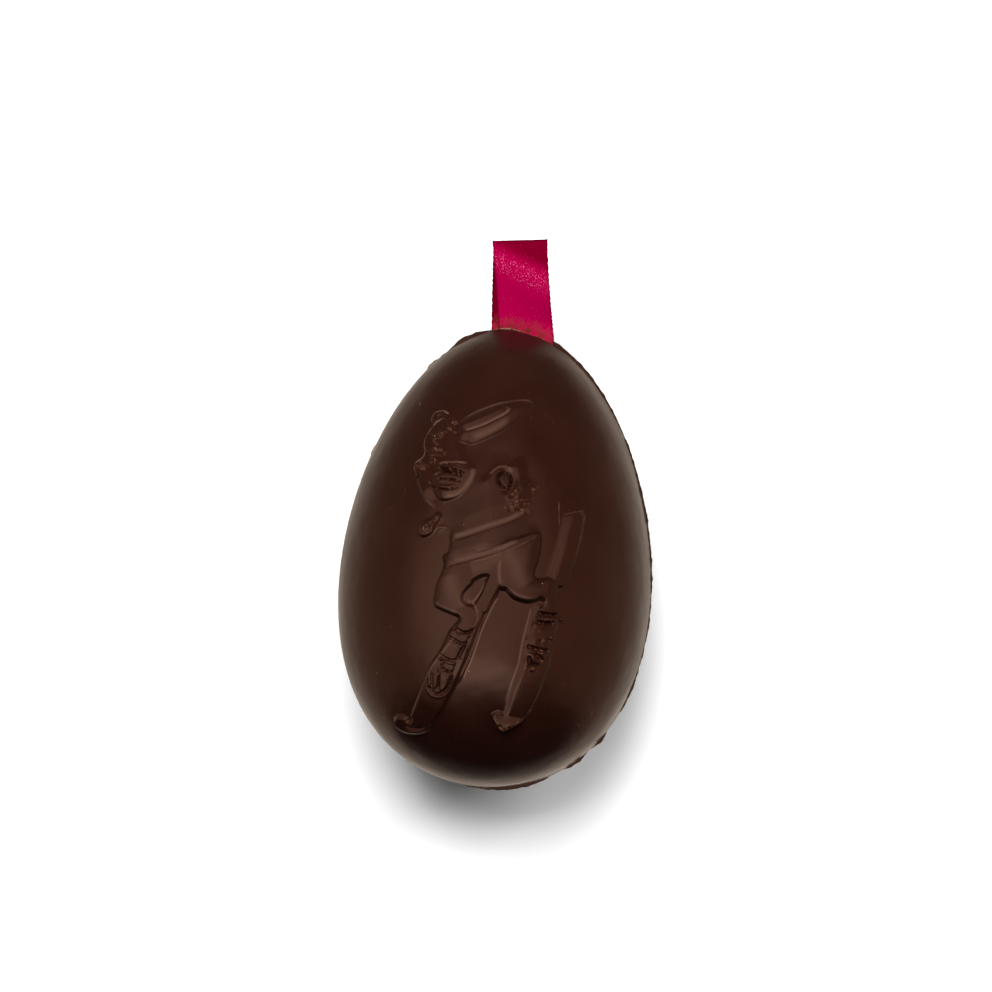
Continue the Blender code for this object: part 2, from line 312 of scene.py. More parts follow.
@dataclass(frozen=True)
class EggMould:
    """One half's form: the egg curve, its seam height and its place, in metres."""

    length: float
    width: float
    shift: float
    seam: float
    slip: Vector

    @classmethod
    def of_node(cls, node: str, seam: float) -> EggMould:
        """Read a half's form from its solid in the frame.

        Args:
            node: The half's node in the frame.
            seam: The seam's height in metres.

        Returns:
            The half's form.
        """
        low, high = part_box(node)
        back_low, back_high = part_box("shell_back")
        middle = (back_low.y + back_high.y) / 2
        slip = Vector(((low.x + high.x) / 2, (low.y + high.y) / 2 - middle, 0.0))
        return cls(back_high.y - back_low.y, back_high.x - back_low.x, middle, seam, slip)

    def radius(self, along: np.ndarray) -> np.ndarray:
        """The egg's radius at distances along +Y from its broadest station.

        Args:
            along: The distances, in metres.

        Returns:
            The radius at each of them.
        """
        centred = along - self.shift
        chord = np.maximum(self.length ** 2 - 4 * centred ** 2, 0.0)
        spread = self.length ** 2 + 8 * self.shift * centred + 4 * self.shift ** 2
        return self.width / 2 * np.sqrt(chord / spread)

    def turn(self, along: float) -> float:
        """The angle round a circle on the poles at which a distance along +Y is reached."""
        return math.acos(max(-1.0, min(1.0, (self.shift - along) / (self.length / 2))))

    def stations(self, dense: tuple[float, float], share: float, count: int) -> np.ndarray:
        """Distances along +Y from pole to pole, closer in a stretch and near the poles.

        Args:
            dense: The stretch with the close places.
            share: The part of all places that goes to it.
            count: How many places.

        Returns:
            The distances in order.
        """
        low, high = self.shift - self.length / 2, self.shift + self.length / 2
        turns = uneven_steps(0.0, math.pi, (self.turn(dense[0]), self.turn(dense[1])), share, count)
        return np.clip(self.shift - self.length / 2 * np.cos(turns), low, high)


# ---------------------------------------------------------------- the relief


OUTLINE_REACH = 0.2  # how far past a closed outline the drawing is measured, in mm


class Lay(Enum):
    """How a raised area meets what is already there."""

    MERGE = "the higher of the two counts"
    ON_TOP = "it is added to what is there"


@dataclass(frozen=True)
class Nearness:
    """Where points lie beside a path: distance, share along it, side and whether inside it."""

    distance: np.ndarray
    share: np.ndarray
    side: np.ndarray
    inside: np.ndarray

    def ends(self, fade: float) -> np.ndarray:
        """1 along the path, easing to 0 over a share of it at both ends."""
        return smoothstep(self.share / fade) * smoothstep((1 - self.share) / fade)


def beside(path: np.ndarray, across: np.ndarray, along: np.ndarray,
           counted: np.ndarray | None = None) -> Nearness:
    """Measure points of the drawing against a path.

    Args:
        path: The path's points in mm.
        across: The points' x in mm.
        along: The points' y in mm.
        counted: Which spans of the path count for the distance; all of them if None.

    Returns:
        The nearest place on the path for each point. side is +1 to the left of the path's run,
        and inside holds only for a closed path.
    """
    best = np.full(across.shape, np.inf)
    share = np.zeros(across.shape)
    side = np.zeros(across.shape)
    inside = np.zeros(across.shape, bool)
    spans = len(path) - 1
    for index in range(spans):
        (ax, ay), (bx, by) = path[index], path[index + 1]
        ex, ey = bx - ax, by - ay
        reach = max(ex * ex + ey * ey, 1e-12)
        part = np.clip(((across - ax) * ex + (along - ay) * ey) / reach, 0.0, 1.0)
        dx, dy = across - (ax + part * ex), along - (ay + part * ey)
        gap = np.hypot(dx, dy)
        nearer = gap < (best if counted is None or counted[index] else 0.0)
        best[nearer] = gap[nearer]
        share[nearer] = (index + part[nearer]) / spans
        side[nearer] = np.sign(ex * dy - ey * dx)[nearer]
        if ay != by:
            crosses = ((ay > along) != (by > along)) & (across < ex * (along - ay) / ey + ax)
            inside ^= crosses
    return Nearness(best, share, side, inside)


@dataclass
class Drawing:
    """The figure's ground: places on the front half in mm, height, painted glints and highlights."""

    across: np.ndarray
    along: np.ndarray
    height: np.ndarray = field(init=False)
    strokes: np.ndarray = field(init=False)
    wear_and_highlight: np.ndarray = field(init=False)

    def __post_init__(self) -> None:
        """Start flat and untouched."""
        self.height = np.zeros(self.across.shape)
        self.strokes = np.zeros(self.across.shape)
        self.wear_and_highlight = np.zeros(self.across.shape)

    def near(self, path: np.ndarray, reach: float) -> np.ndarray:
        """A mask of the places within reach of a path's box.

        Args:
            path: The path's points in mm.
            reach: How far past them the box goes.

        Returns:
            True for the places in the box.
        """
        low, high = path.min(0) - reach, path.max(0) + reach
        return ((self.across > low[0]) & (self.across < high[0])
                & (self.along > low[1]) & (self.along < high[1]))

    def measure(self, points: Path, closed: bool, reach: float) -> tuple[np.ndarray, Nearness]:
        """Measure the drawing against a smooth curve through a few points.

        Args:
            points: The points in mm.
            closed: Whether the curve returns to its start.
            reach: How far from the curve the drawing is measured.

        Returns:
            A mask of the measured places, and where they lie beside the curve.
        """
        path = smooth_path(points, closed)
        mask = self.near(path, reach)
        return mask, beside(path, self.across[mask], self.along[mask])


@dataclass(frozen=True)
class Pad:
    """A raised area with a closed outline: a short steep step, then a long roll to the top.

    height is the full height in mm. step is the steep edge's width and cliff the share of the
    height that it takes. roll is how far in from the edge the top goes on rising. On the side
    that soft_way points to, and wherever y is over soft_above, the height fades in over soft.
    low_end and high_end give a slab that slopes: its height goes from low_share to 1 between them.
    """

    outline: Path
    height: float
    step: float
    cliff: float = 1.0
    roll: float = 2.4
    soft: float | None = None
    soft_way: tuple[float, float] = (-0.5, 0.87)
    soft_above: float = math.inf
    low_end: tuple[float, float] | None = None
    high_end: tuple[float, float] | None = None
    low_share: float = 0.0
    lay: Lay = Lay.MERGE

    def shape(self, drawing: Drawing) -> None:
        """Raise the drawing to this area's top.

        Args:
            drawing: The drawing to change.
        """
        path = smooth_path(self.outline, closed=True)
        mask = drawing.near(path, OUTLINE_REACH)
        across, along = drawing.across[mask], drawing.along[mask]
        near = beside(path, across, along)
        gap, fade = near.distance, 1.0
        if self.soft is not None:
            soft = self.soft_spans(path)
            gap = beside(path, across, along, ~soft).distance
            fade = smoothstep(beside(path, across, along, soft).distance / self.soft)
        rounded = 1.0 - (1.0 - np.clip(gap / self.roll, 0.0, 1.0)) ** 2
        steep = smoothstep(gap / self.step)
        top = self.height * (self.cliff * steep + (1 - self.cliff) * rounded) * fade
        if self.low_end is not None and self.high_end is not None:
            low, high = np.array(self.low_end), np.array(self.high_end)
            run = high - low
            part = ((across - low[0]) * run[0] + (along - low[1]) * run[1]) / (run @ run)
            top = top * (self.low_share + (1 - self.low_share) * smoothstep(part))
        top = np.where(near.inside, top, 0.0)
        if self.lay is Lay.ON_TOP:
            drawing.height[mask] += top
        else:
            higher = top > drawing.height[mask]
            drawing.height[mask] = np.where(higher, top, drawing.height[mask])
            drawing.strokes[mask] *= ~higher
            drawing.wear_and_highlight[mask] *= ~higher

    def soft_spans(self, path: np.ndarray) -> np.ndarray:
        """Which spans of the outline face the soft way.

        Args:
            path: The outline's points in mm.

        Returns:
            True for the soft spans.
        """
        run = np.diff(path, axis=0)
        area = np.sum(path[:-1, 0] * path[1:, 1] - path[1:, 0] * path[:-1, 1])
        outward = np.stack([run[:, 1], -run[:, 0]], -1) * (1.0 if area > 0 else -1.0)
        outward /= np.maximum(np.hypot(outward[:, 0], outward[:, 1]), 1e-9)[:, None]
        return (outward @ np.array(self.soft_way) > 0.5) | (path[:-1, 1] > self.soft_above)


@dataclass(frozen=True)
class Hollow:
    """A sunk area with a closed outline, depth below what is there, its wall step wide."""

    outline: Path
    depth: float
    step: float

    def shape(self, drawing: Drawing) -> None:
        """Sink the drawing inside the outline.

        Args:
            drawing: The drawing to change.
        """
        mask, near = drawing.measure(self.outline, closed=True, reach=OUTLINE_REACH)
        sunk = self.depth * smoothstep(near.distance / self.step)
        drawing.height[mask] -= np.where(near.inside, sunk, 0.0)


@dataclass(frozen=True)
class Groove:
    """A cut line, or a raised one where depth is negative, that fades at both ends.

    lip is the height of the edges pushed up beside it, as a share of its depth.
    """

    path: Path
    depth: float
    width: float
    fade: float = 0.12
    lip: float = 0.0

    def shape(self, drawing: Drawing) -> None:
        """Cut the line into the drawing.

        Args:
            drawing: The drawing to change.
        """
        mask, near = drawing.measure(self.path, closed=False, reach=4 * self.width)
        cut = np.exp(-((near.distance / self.width) ** 2))
        lips = self.lip * np.exp(-((near.distance / self.width - 2.0) ** 2))
        cut = (cut - lips) * near.ends(self.fade)
        drawing.height[mask] -= self.depth * cut
        if self.lip > 0.0:
            # the lips of the cut also carry painted glints
            drawing.strokes[mask] = np.maximum(drawing.strokes[mask], cut)


@dataclass(frozen=True)
class Ledge:
    """A surface that climbs to a line from its left and drops off sharply on its right.

    It climbs by height over reach and falls over drop, all in mm, and fades at both ends.
    """

    path: Path
    height: float
    reach: float
    drop: float = 0.3
    fade: float = 0.12

    def shape(self, drawing: Drawing) -> None:
        """Add the climb and the drop to the drawing.

        Args:
            drawing: The drawing to change.
        """
        mask, near = drawing.measure(self.path, closed=False, reach=self.reach)
        climb = 1 - smoothstep(near.distance / self.reach)
        fall = 1 - smoothstep(near.distance / self.drop)
        slope = np.where(near.side > 0, climb, fall)
        drawing.height[mask] += self.height * near.ends(self.fade) * slope


@dataclass(frozen=True)
class Beads:
    """A rough patch: count small round bumps and pits strewn along a path.

    spread is how far they stray from its points, and size and height are theirs, in mm.
    """

    path: Path
    count: int
    spread: float
    size: float
    height: float
    seed: int

    def shape(self, drawing: Drawing) -> None:
        """Strew the bumps and pits over the drawing.

        Args:
            drawing: The drawing to change.
        """
        rng = np.random.default_rng(self.seed)
        path = smooth_path(self.path, closed=False)
        places = path[rng.integers(0, len(path), self.count)]
        places = places + rng.normal(0.0, self.spread, places.shape)
        sizes = self.size * rng.uniform(0.6, 1.4, self.count)
        signs = rng.choice([-1.0, 1.0], self.count)
        heights = self.height * signs * rng.uniform(0.5, 1.0, self.count)
        for (x, y), size, height in zip(places, sizes, heights):
            mask = drawing.near(np.array([[x, y]]), 2.5 * size)
            gap = np.hypot(drawing.across[mask] - x, drawing.along[mask] - y)
            bump = np.exp(-((gap / size) ** 2))
            drawing.height[mask] += height * bump
            # each bump also carries painted glints
            drawing.strokes[mask] = np.maximum(drawing.strokes[mask], bump)


@dataclass(frozen=True)
class WearAndHighlight:
    """A pale line painted on a crest, width in mm: a painted highlight, partly also wear."""

    path: Path
    strength: float = 0.7
    width: float = 0.13
    fade: float = 0.1

    def shape(self, drawing: Drawing) -> None:
        """Mark the line on the drawing.

        Args:
            drawing: The drawing to change.
        """
        mask, near = drawing.measure(self.path, closed=False, reach=4 * self.width)
        line = self.strength * near.ends(self.fade) * np.exp(-((near.distance / self.width) ** 2))
        drawing.wear_and_highlight[mask] = np.maximum(drawing.wear_and_highlight[mask], line)


Feature = Pad | Hollow | Groove | Ledge | Beads | WearAndHighlight


def disc(centre: tuple[float, float], radius: float, count: int = 10) -> Path:
    """The outline of a disc in mm.

    Args:
        centre: Its middle.
        radius: Its radius.
        count: How many points.

    Returns:
        Its points.
    """
    x, y = centre
    turns = [math.tau * index / count for index in range(count)]
    return [(x + radius * math.cos(turn), y + radius * math.sin(turn)) for turn in turns]


@dataclass(frozen=True)
class SkiingRabbit:
    """The relief figure, in mm from the front half's broadest station: x right, y to the ribbon."""

    ski_height: float = 0.55
    limb_height: float = 1.1
    body_height: float = 0.85
    head_height: float = 0.5

    def skis(self) -> list[Feature]:
        """Both skis with their turned-up tips, and the far ski's tail behind the knee.

        Returns:
            The features in the order in which they are laid.
        """
        near_ski: Path = [
            (1.8, 3.2), (0.0, -0.8), (-1.6, -5.8), (-4.3, -13.6), (-6.8, -19.4), (-8.8, -22.4),
            (-10.5, -23.9), (-12.0, -24.3), (-13.4, -24.3), (-14.7, -23.8), (-15.3, -22.6),
            (-15.1, -20.9), (-15.1, -20.9), (-13.9, -20.8), (-12.7, -21.2), (-12.7, -21.2),
            (-11.0, -16.2), (-9.6, -11.4), (-7.8, -8.1), (-5.9, -3.9), (-2.3, 0.4), (-1.1, 3.0),
            (-0.3, 5.2),
        ]
        far_ski: Path = [
            (8.6, 1.6), (7.6, -0.4), (6.4, -5.2), (5.9, -9.8), (4.8, -13.6), (3.8, -18.0),
            (3.0, -18.2), (2.2, -18.4), (1.7, -19.0), (2.1, -20.1), (2.9, -21.3), (3.6, -21.9),
            (4.9, -21.3), (6.5, -20.5), (7.7, -19.5), (8.7, -18.1), (9.8, -15.7), (10.8, -12.4),
            (11.8, -8.7), (12.6, -4.0), (12.7, 0.8),
        ]
        tail: Path = [
            (9.4, 4.6), (10.1, 7.4), (10.9, 11.0), (11.6, 14.9), (12.0, 16.8), (12.0, 16.8),
            (13.9, 17.3), (15.7, 17.7), (15.7, 17.7), (15.7, 14.6), (15.1, 10.6), (14.4, 7.4),
            (13.0, 4.2),
        ]
        near_root: Path = [
            (-1.4, 1.4), (-1.1, 2.6), (-0.6, 4.2), (0.2, 5.8), (2.4, 5.4), (2.2, 3.4), (1.2, 1.2),
            (0.3, -1.0), (-1.0, -1.4),
        ]
        near_tip: Path = [
            (-15.15, -21.3), (-15.0, -22.7), (-14.2, -23.7), (-12.8, -24.0), (-11.2, -23.8),
            (-9.8, -23.2), (-9.0, -22.6),
        ]
        far_tip: Path = [
            (2.3, -18.5), (1.8, -19.2), (2.3, -20.4), (3.6, -21.8), (5.0, -21.2), (6.6, -20.4),
            (7.9, -19.3), (8.9, -17.8), (7.3, -18.0), (5.4, -18.3), (4.2, -18.7), (3.2, -18.3),
        ]
        return [
            Pad(near_ski, self.ski_height, 0.8, soft=0.25, soft_way=(-1.0, 0.3)),
            Pad(far_ski, self.ski_height, 0.8, soft=1.3, soft_way=(-1.0, 0.1), low_end=(13.2, -5.0),
                high_end=(9.0, -6.0), low_share=0.18),
            Pad(tail, self.ski_height + 0.15, 0.5, soft=1.7, soft_way=(-1.0, 0.1),
                low_end=(16.8, 8.0), high_end=(12.4, 9.2), low_share=0.2),
            Groove([(1.9, 3.0), (1.0, 1.1), (0.1, -0.9), (-0.8, -3.2), (-1.5, -5.8), (-2.4, -8.7),
                    (-3.4, -11.3), (-4.4, -14.0)], -0.2, 0.17, 0.1),
            Pad(near_root, 1.0, 0.8, soft=0.25, soft_way=(-1.0, 0.3), low_end=(-0.6, -0.6),
                high_end=(0.9, 4.8), low_share=0.5),
            Groove(near_tip, -0.34, 0.36, 0.06),
            Groove([(-13.6, -22.6), (-12.2, -22.9), (-10.6, -22.8), (-9.6, -22.2)], 0.26, 0.26),
            Pad(far_tip, 1.4, 0.35, cliff=0.9, roll=1.0, low_end=(4.5, -17.6), high_end=(4.0, -21.6),
                low_share=0.2),
            Groove([(2.7, -18.8), (3.6, -19.2), (4.2, -19.0)], 0.25, 0.25),
            Beads([(3.0, -20.6), (4.6, -20.9), (7.0, -19.6)], 26, 0.25, 0.24, 0.16, 2),
        ]

    def trunk(self) -> tuple[list[Feature], list[Feature]]:
        """The torso with its upper hem, and then the lower hem, which lies over the thighs.

        Returns:
            The features of the torso, and those of the lower hem.
        """
        torso: Path = [
            (-8.4, 16.0), (-9.6, 20.0), (-9.0, 25.0), (-4.0, 27.6), (2.0, 27.0), (5.2, 23.6),
            (6.4, 18.6), (7.6, 16.4), (8.2, 14.6), (8.5, 12.0), (8.4, 9.4), (5.0, 8.4), (2.4, 7.6),
            (-0.2, 7.2), (-2.7, 6.8), (-5.3, 6.0), (-8.1, 5.6), (-7.7, 8.3), (-7.4, 10.3),
            (-7.6, 12.6),
        ]
        chest: Path = [
            (-7.7, 17.0), (-5.0, 18.6), (-1.0, 20.2), (2.5, 21.4), (5.6, 21.6), (6.6, 17.6),
            (4.2, 15.9), (2.1, 14.8), (-0.5, 13.75), (-3.0, 12.75), (-5.2, 11.9), (-7.4, 11.2),
        ]
        waist: Path = [
            (-7.5, 9.6), (-2.7, 11.2), (2.4, 13.2), (6.0, 15.2), (7.9, 14.8), (8.1, 13.0),
            (6.9, 12.4), (4.9, 11.45), (2.4, 10.3), (-0.2, 9.25), (-2.7, 8.35), (-5.3, 7.45),
            (-7.8, 6.7),
        ]
        return [
            Pad(torso, self.body_height, 0.7, roll=9.0, soft=9.0, soft_way=(-0.2, 0.98),
                soft_above=13.8),
            Pad(chest, 0.32, 0.26, cliff=0.2, roll=1.2, soft=6.0, soft_way=(-0.35, 0.94),
                soft_above=13.2, lay=Lay.ON_TOP),
            Groove([(-6.8, 11.3), (-5.2, 11.75), (-3.0, 12.6), (-0.5, 13.6), (2.1, 14.65),
                    (4.2, 15.75), (5.9, 16.9)], 0.12, 0.16, 0.05),
        ], [
            Pad(waist, 0.28, 0.26, cliff=0.18, roll=1.1, soft=3.0, soft_way=(-0.35, 0.94),
                lay=Lay.ON_TOP),
            Groove([(-7.4, 6.6), (-5.3, 7.3), (-2.7, 8.2), (-0.2, 9.1), (2.4, 10.15), (4.9, 11.3),
                    (7.2, 12.4)], 0.14, 0.17, 0.05),
            Groove([(-2.4, 9.4), (-0.9, 9.9), (0.6, 10.4)], 0.2, 0.16),
        ]

    def legs(self) -> list[Feature]:
        """The thighs, knees and shins, the front leg lower left and the back leg right.

        Returns:
            The features in the order in which they are laid.
        """
        front: Path = [
            (-8.2, 8.4), (-5.0, 9.4), (-1.6, 10.4), (1.2, 11.4), (4.6, 11.6), (5.2, 8.0),
            (4.4, 5.2), (2.4, 4.2), (0.8, 4.0), (-0.4, 5.2), (-1.6, 4.8), (-3.0, 3.6), (-4.1, 2.2),
            (-4.3, 1.2), (-3.6, 0.5), (-2.3, 0.2), (-1.5, -0.7), (-1.3, -1.9), (-1.6, -3.5),
            (-2.2, -4.5), (-3.8, -4.8), (-5.3, -4.1), (-5.0, -2.4), (-6.1, -1.8), (-8.2, -1.1),
            (-9.3, -0.5), (-9.4, 0.9), (-9.1, 3.2), (-8.5, 5.0), (-8.1, 6.6),
        ]
        back: Path = [
            (1.2, 10.6), (4.6, 12.6), (8.2, 13.4), (8.4, 9.6), (7.9, 7.4), (7.7, 5.9), (8.6, 5.5),
            (9.8, 5.8), (10.8, 5.6), (11.6, 4.9), (12.1, 3.6), (12.3, 1.6), (12.3, -1.2),
            (10.2, -1.4), (8.1, -0.8), (8.7, 0.5), (8.8, 1.4), (6.8, 1.0), (5.0, 1.3), (3.8, 1.9),
            (2.7, 2.9), (1.8, 3.3),
        ]
        return [
            Pad(front, self.limb_height, 0.34, cliff=0.6, roll=2.6, soft=0.8, soft_way=(-0.3, -0.95)),
            Pad(back, self.limb_height + 0.3, 0.45, cliff=0.6, roll=2.8, soft=1.1,
                soft_way=(0.0, -1.0), low_end=(12.6, 0.0), high_end=(8.5, 3.5), low_share=0.5),
            Groove([(-1.5, 5.9), (-0.6, 6.4), (0.4, 6.6)], 0.16, 0.18),
            Groove([(-2.0, 0.1), (-1.0, -0.8), (-0.8, -1.9), (-1.1, -3.4), (-1.4, -4.6)], -0.12,
                    0.18),
        ]

    def head(self) -> list[Feature]:
        """The head in profile, its cheek with the whisker cuts, and both ears.

        Returns:
            The features in the order in which they are laid.
        """
        skull: Path = [
            (-7.4, 31.6), (-8.6, 32.5), (-9.6, 32.2), (-10.9, 31.3), (-11.8, 30.6), (-12.6, 29.4),
            (-13.2, 28.2), (-13.3, 26.8), (-13.1, 26.0), (-13.4, 25.0), (-14.1, 24.5),
            (-14.7, 23.7), (-14.6, 22.6), (-14.0, 22.0), (-13.5, 21.6), (-14.0, 20.9),
            (-13.5, 19.6), (-12.8, 18.4), (-11.9, 17.2), (-10.7, 16.4), (-10.0, 16.6),
            (-10.6, 17.6), (-9.0, 18.4), (-5.6, 20.4), (-4.2, 23.2), (-4.9, 26.4), (-6.0, 28.2),
        ]
        cheek: Path = [
            (-11.2, 20.6), (-10.4, 18.6), (-9.2, 17.7), (-7.8, 17.9), (-6.4, 18.5), (-5.2, 19.5),
            (-4.2, 20.9), (-3.6, 22.4), (-3.5, 23.6), (-4.0, 25.2), (-5.0, 26.3), (-7.0, 26.6),
            (-9.4, 25.4), (-10.9, 23.4),
        ]
        ear: Path = [
            (-7.6, 31.3), (-5.8, 32.7), (-3.9, 33.8), (-2.1, 34.6), (-0.4, 35.3), (1.3, 35.8),
            (3.0, 36.1), (4.8, 36.1), (5.6, 35.6), (4.9, 34.2), (3.0, 32.5), (1.7, 31.5),
            (0.0, 30.3), (-1.7, 29.3), (-3.4, 28.4), (-4.6, 27.9), (-5.6, 28.0), (-7.2, 28.4),
        ]
        inner_line: Path = [
            (-6.6, 29.7), (-4.5, 30.4), (-2.7, 31.2), (-1.0, 32.2), (0.6, 33.2), (1.6, 34.2),
        ]
        whiskers: list[Path] = [
            [(-10.2, 23.8), (-8.2, 24.2), (-6.6, 24.3), (-5.0, 24.1)],
            [(-10.2, 23.2), (-8.6, 23.2), (-6.8, 23.0), (-5.2, 22.7)],
            [(-10.8, 21.8), (-9.0, 22.5), (-7.2, 22.4), (-5.6, 22.0)],
            [(-10.4, 21.1), (-8.8, 21.4), (-7.2, 21.3), (-5.8, 21.2)],
            [(-11.7, 20.7), (-10.6, 19.9), (-9.2, 19.6), (-7.6, 19.7), (-6.2, 20.3)],
        ]
        features: list[Feature] = [
            Pad(disc((-10.7, 31.7), 1.75), 0.5, 0.22, cliff=0.8, roll=1.0),
            Hollow(disc((-10.5, 31.9), 1.0), 0.25, 0.4),
            Pad(skull, self.head_height + 0.1, 0.22, cliff=0.8, roll=1.4, soft=2.4,
                soft_way=(1.0, 0.0)),
            Pad(cheek, self.head_height + 0.7, 0.24, cliff=0.3, roll=2.0, soft=2.8,
                soft_way=(-0.1, 1.0)),
            Pad(ear, 1.1, 0.28, cliff=0.25, roll=2.2),
            Ledge(inner_line, -0.6, 1.25, 0.26, 0.1),
            Groove([(-14.5, 21.9), (-13.9, 21.8), (-13.3, 21.8)], 0.3, 0.25),
        ]
        features += [Groove(path, 0.34, 0.17, 0.08, lip=0.45) for path in whiskers]
        features += [
            Beads([(-8.6, 31.9), (-7.8, 30.3), (-9.4, 29.5), (-11.0, 28.8)], 34, 0.22, 0.24, 0.3,
                   3),
            Beads([(-11.8, 28.7), (-11.0, 27.9)], 18, 0.28, 0.24, 0.3, 5),
            Beads([(-11.8, 26.0), (-10.4, 26.4), (-9.4, 25.7)], 20, 0.2, 0.24, 0.32, 8),
            Beads([(-14.0, 23.8), (-13.2, 23.2), (-12.6, 23.0)], 16, 0.3, 0.24, 0.3, 13),
            Beads([(-11.6, 24.7), (-10.8, 24.2)], 7, 0.18, 0.24, 0.22, 21),
            Groove([(-11.6, 25.2), (-10.4, 25.2), (-9.3, 25.0)], 0.3, 0.2),
        ]
        return features

    def arms(self) -> list[Feature]:
        """The raised mitten with its pole loop, the sleeve below it, and the near hand.

        Returns:
            The features in the order in which they are laid.
        """
        mitten: Path = [
            (0.2, 23.6), (1.4, 24.6), (2.4, 25.4), (3.2, 26.4), (4.2, 26.6), (5.0, 25.9),
            (5.5, 24.6), (5.7, 23.2), (6.5, 22.0), (6.9, 21.0), (6.5, 19.4), (6.2, 17.8),
            (5.4, 16.9), (3.0, 16.4), (1.0, 16.8), (1.2, 18.6), (2.2, 20.4), (3.1, 22.0),
            (2.2, 23.4),
        ]
        hand: Path = [
            (-13.2, 12.6), (-12.8, 13.7), (-11.7, 14.4), (-10.7, 14.8), (-10.1, 15.6), (-9.3, 15.7),
            (-8.9, 15.0), (-9.5, 13.8), (-10.2, 12.2), (-11.2, 11.3), (-12.3, 11.1), (-13.0, 11.7),
        ]
        return [
            Pad(mitten, 0.75, 0.9, cliff=0.5, roll=2.4, soft=2.6, soft_way=(0.7, 0.7)),
            Groove([(-2.3, 20.4), (-1.5, 21.6), (-0.6, 22.7), (0.4, 23.6), (1.4, 23.9)], -0.32,
                    0.75, 0.25),
            Groove([(2.1, 20.2), (1.3, 20.9), (0.6, 21.5), (0.3, 22.3), (0.6, 23.0), (1.35, 23.35),
                    (2.15, 23.1), (2.6, 22.3), (2.5, 21.3), (2.1, 20.2)], 0.7, 0.21, 0.02),
            Pad(hand, 0.75, 0.5, cliff=0.6, roll=1.2),
            Beads([(2.0, 20.0), (4.0, 19.0), (5.4, 18.0)], 36, 0.8, 0.26, 0.2, 34),
            Beads([(6.4, 21.6), (6.7, 20.8)], 10, 0.2, 0.24, 0.25, 55),
            Beads([(3.2, 17.4), (4.6, 17.2)], 20, 0.6, 0.25, 0.22, 71),
            Beads([(-12.6, 12.4), (-11.0, 13.0), (-9.6, 15.0)], 44, 0.45, 0.2, 0.26, 89),
            Groove([(-9.9, 12.2), (-9.2, 12.8), (-8.4, 13.0), (-7.6, 12.8)], -0.25, 0.3),
        ]

    def boots(self) -> list[Feature]:
        """The boots in their bindings: straps, buckles and toe pieces on both skis.

        Returns:
            The features in the order in which they are laid.
        """
        near_boot: Path = [
            (-5.9, -4.0), (-2.3, -4.3), (-3.0, -6.4), (-4.2, -8.8), (-5.1, -11.8), (-7.2, -11.2),
            (-7.9, -8.7), (-6.9, -6.2),
        ]
        far_boot: Path = [
            (8.2, -0.6), (12.6, -0.9), (11.8, -5.4), (9.9, -9.6), (7.4, -9.0), (7.1, -5.2),
        ]
        near_toe: Path = [
            (-9.4, -12.2), (-7.4, -11.8), (-5.5, -12.0), (-5.7, -13.8), (-6.4, -15.2),
            (-7.5, -15.9), (-8.6, -15.7), (-9.3, -14.4),
        ]
        near_cuts: list[Path] = [
            [(-5.4, -3.8), (-4.5, -4.4), (-3.1, -4.6), (-2.2, -4.0)],
            [(-6.4, -5.4), (-5.2, -6.0), (-3.9, -6.5), (-3.0, -6.3)],
            [(-3.3, -6.7), (-3.9, -7.7), (-4.5, -9.2)],
            [(-7.8, -8.7), (-6.6, -9.3), (-5.6, -9.6), (-4.7, -9.5)],
            [(-7.4, -10.6), (-6.6, -11.4), (-5.3, -11.8)],
            [(-8.9, -12.3), (-8.7, -14.8)],
            [(-7.6, -12.4), (-7.6, -15.0)],
            [(-9.3, -14.6), (-8.6, -15.7), (-7.4, -15.9), (-6.3, -15.1), (-5.6, -13.6),
             (-5.4, -12.0)],
        ]
        far_cuts: list[Path] = [
            [(8.5, -0.2), (10.2, -0.7), (12.1, -0.7)],
            [(8.2, -1.7), (9.4, -2.2), (11.5, -2.2)],
            [(7.1, -6.3), (8.8, -6.7), (11.1, -7.1)],
            [(7.6, -8.0), (7.9, -9.2), (8.2, -10.1)],
            [(8.6, -7.4), (9.3, -8.2), (9.9, -8.9)],
        ]
        features: list[Feature] = [
            Pad(near_boot, 0.78, 0.5),
            Pad(near_toe, 0.7, 0.6),
            Pad(far_boot, 0.78, 0.8, low_end=(13.0, -4.0), high_end=(9.5, -4.5), low_share=0.5),
        ]
        features += [Groove(path, 0.42, 0.22, 0.08, lip=0.3) for path in near_cuts]
        features += [Groove(path, 0.5, 0.28, 0.08, lip=0.3) for path in far_cuts]
        features += [
            Hollow(disc((-7.0, -9.9), 0.5), 0.4, 0.3),
            Hollow(disc((-4.6, -4.8), 0.42), 0.35, 0.25),
            Pad(disc((12.7, -1.4), 0.45), 0.9, 0.3),
            Groove([(8.4, -1.3), (10.2, -1.5), (12.3, -1.3)], -0.2, 0.25),
            Beads([(7.2, -5.0), (9.4, -5.3), (11.7, -5.0)], 36, 0.12, 0.2, 0.34, 101),
            Beads([(7.8, -10.0), (8.4, -9.9)], 8, 0.15, 0.24, 0.28, 107),
            Beads([(8.6, -1.4), (12.2, -1.4)], 14, 0.2, 0.22, 0.2, 109),
            Beads([(-7.4, -12.0), (-6.4, -11.6)], 6, 0.2, 0.22, 0.2, 113),
        ]
        return features

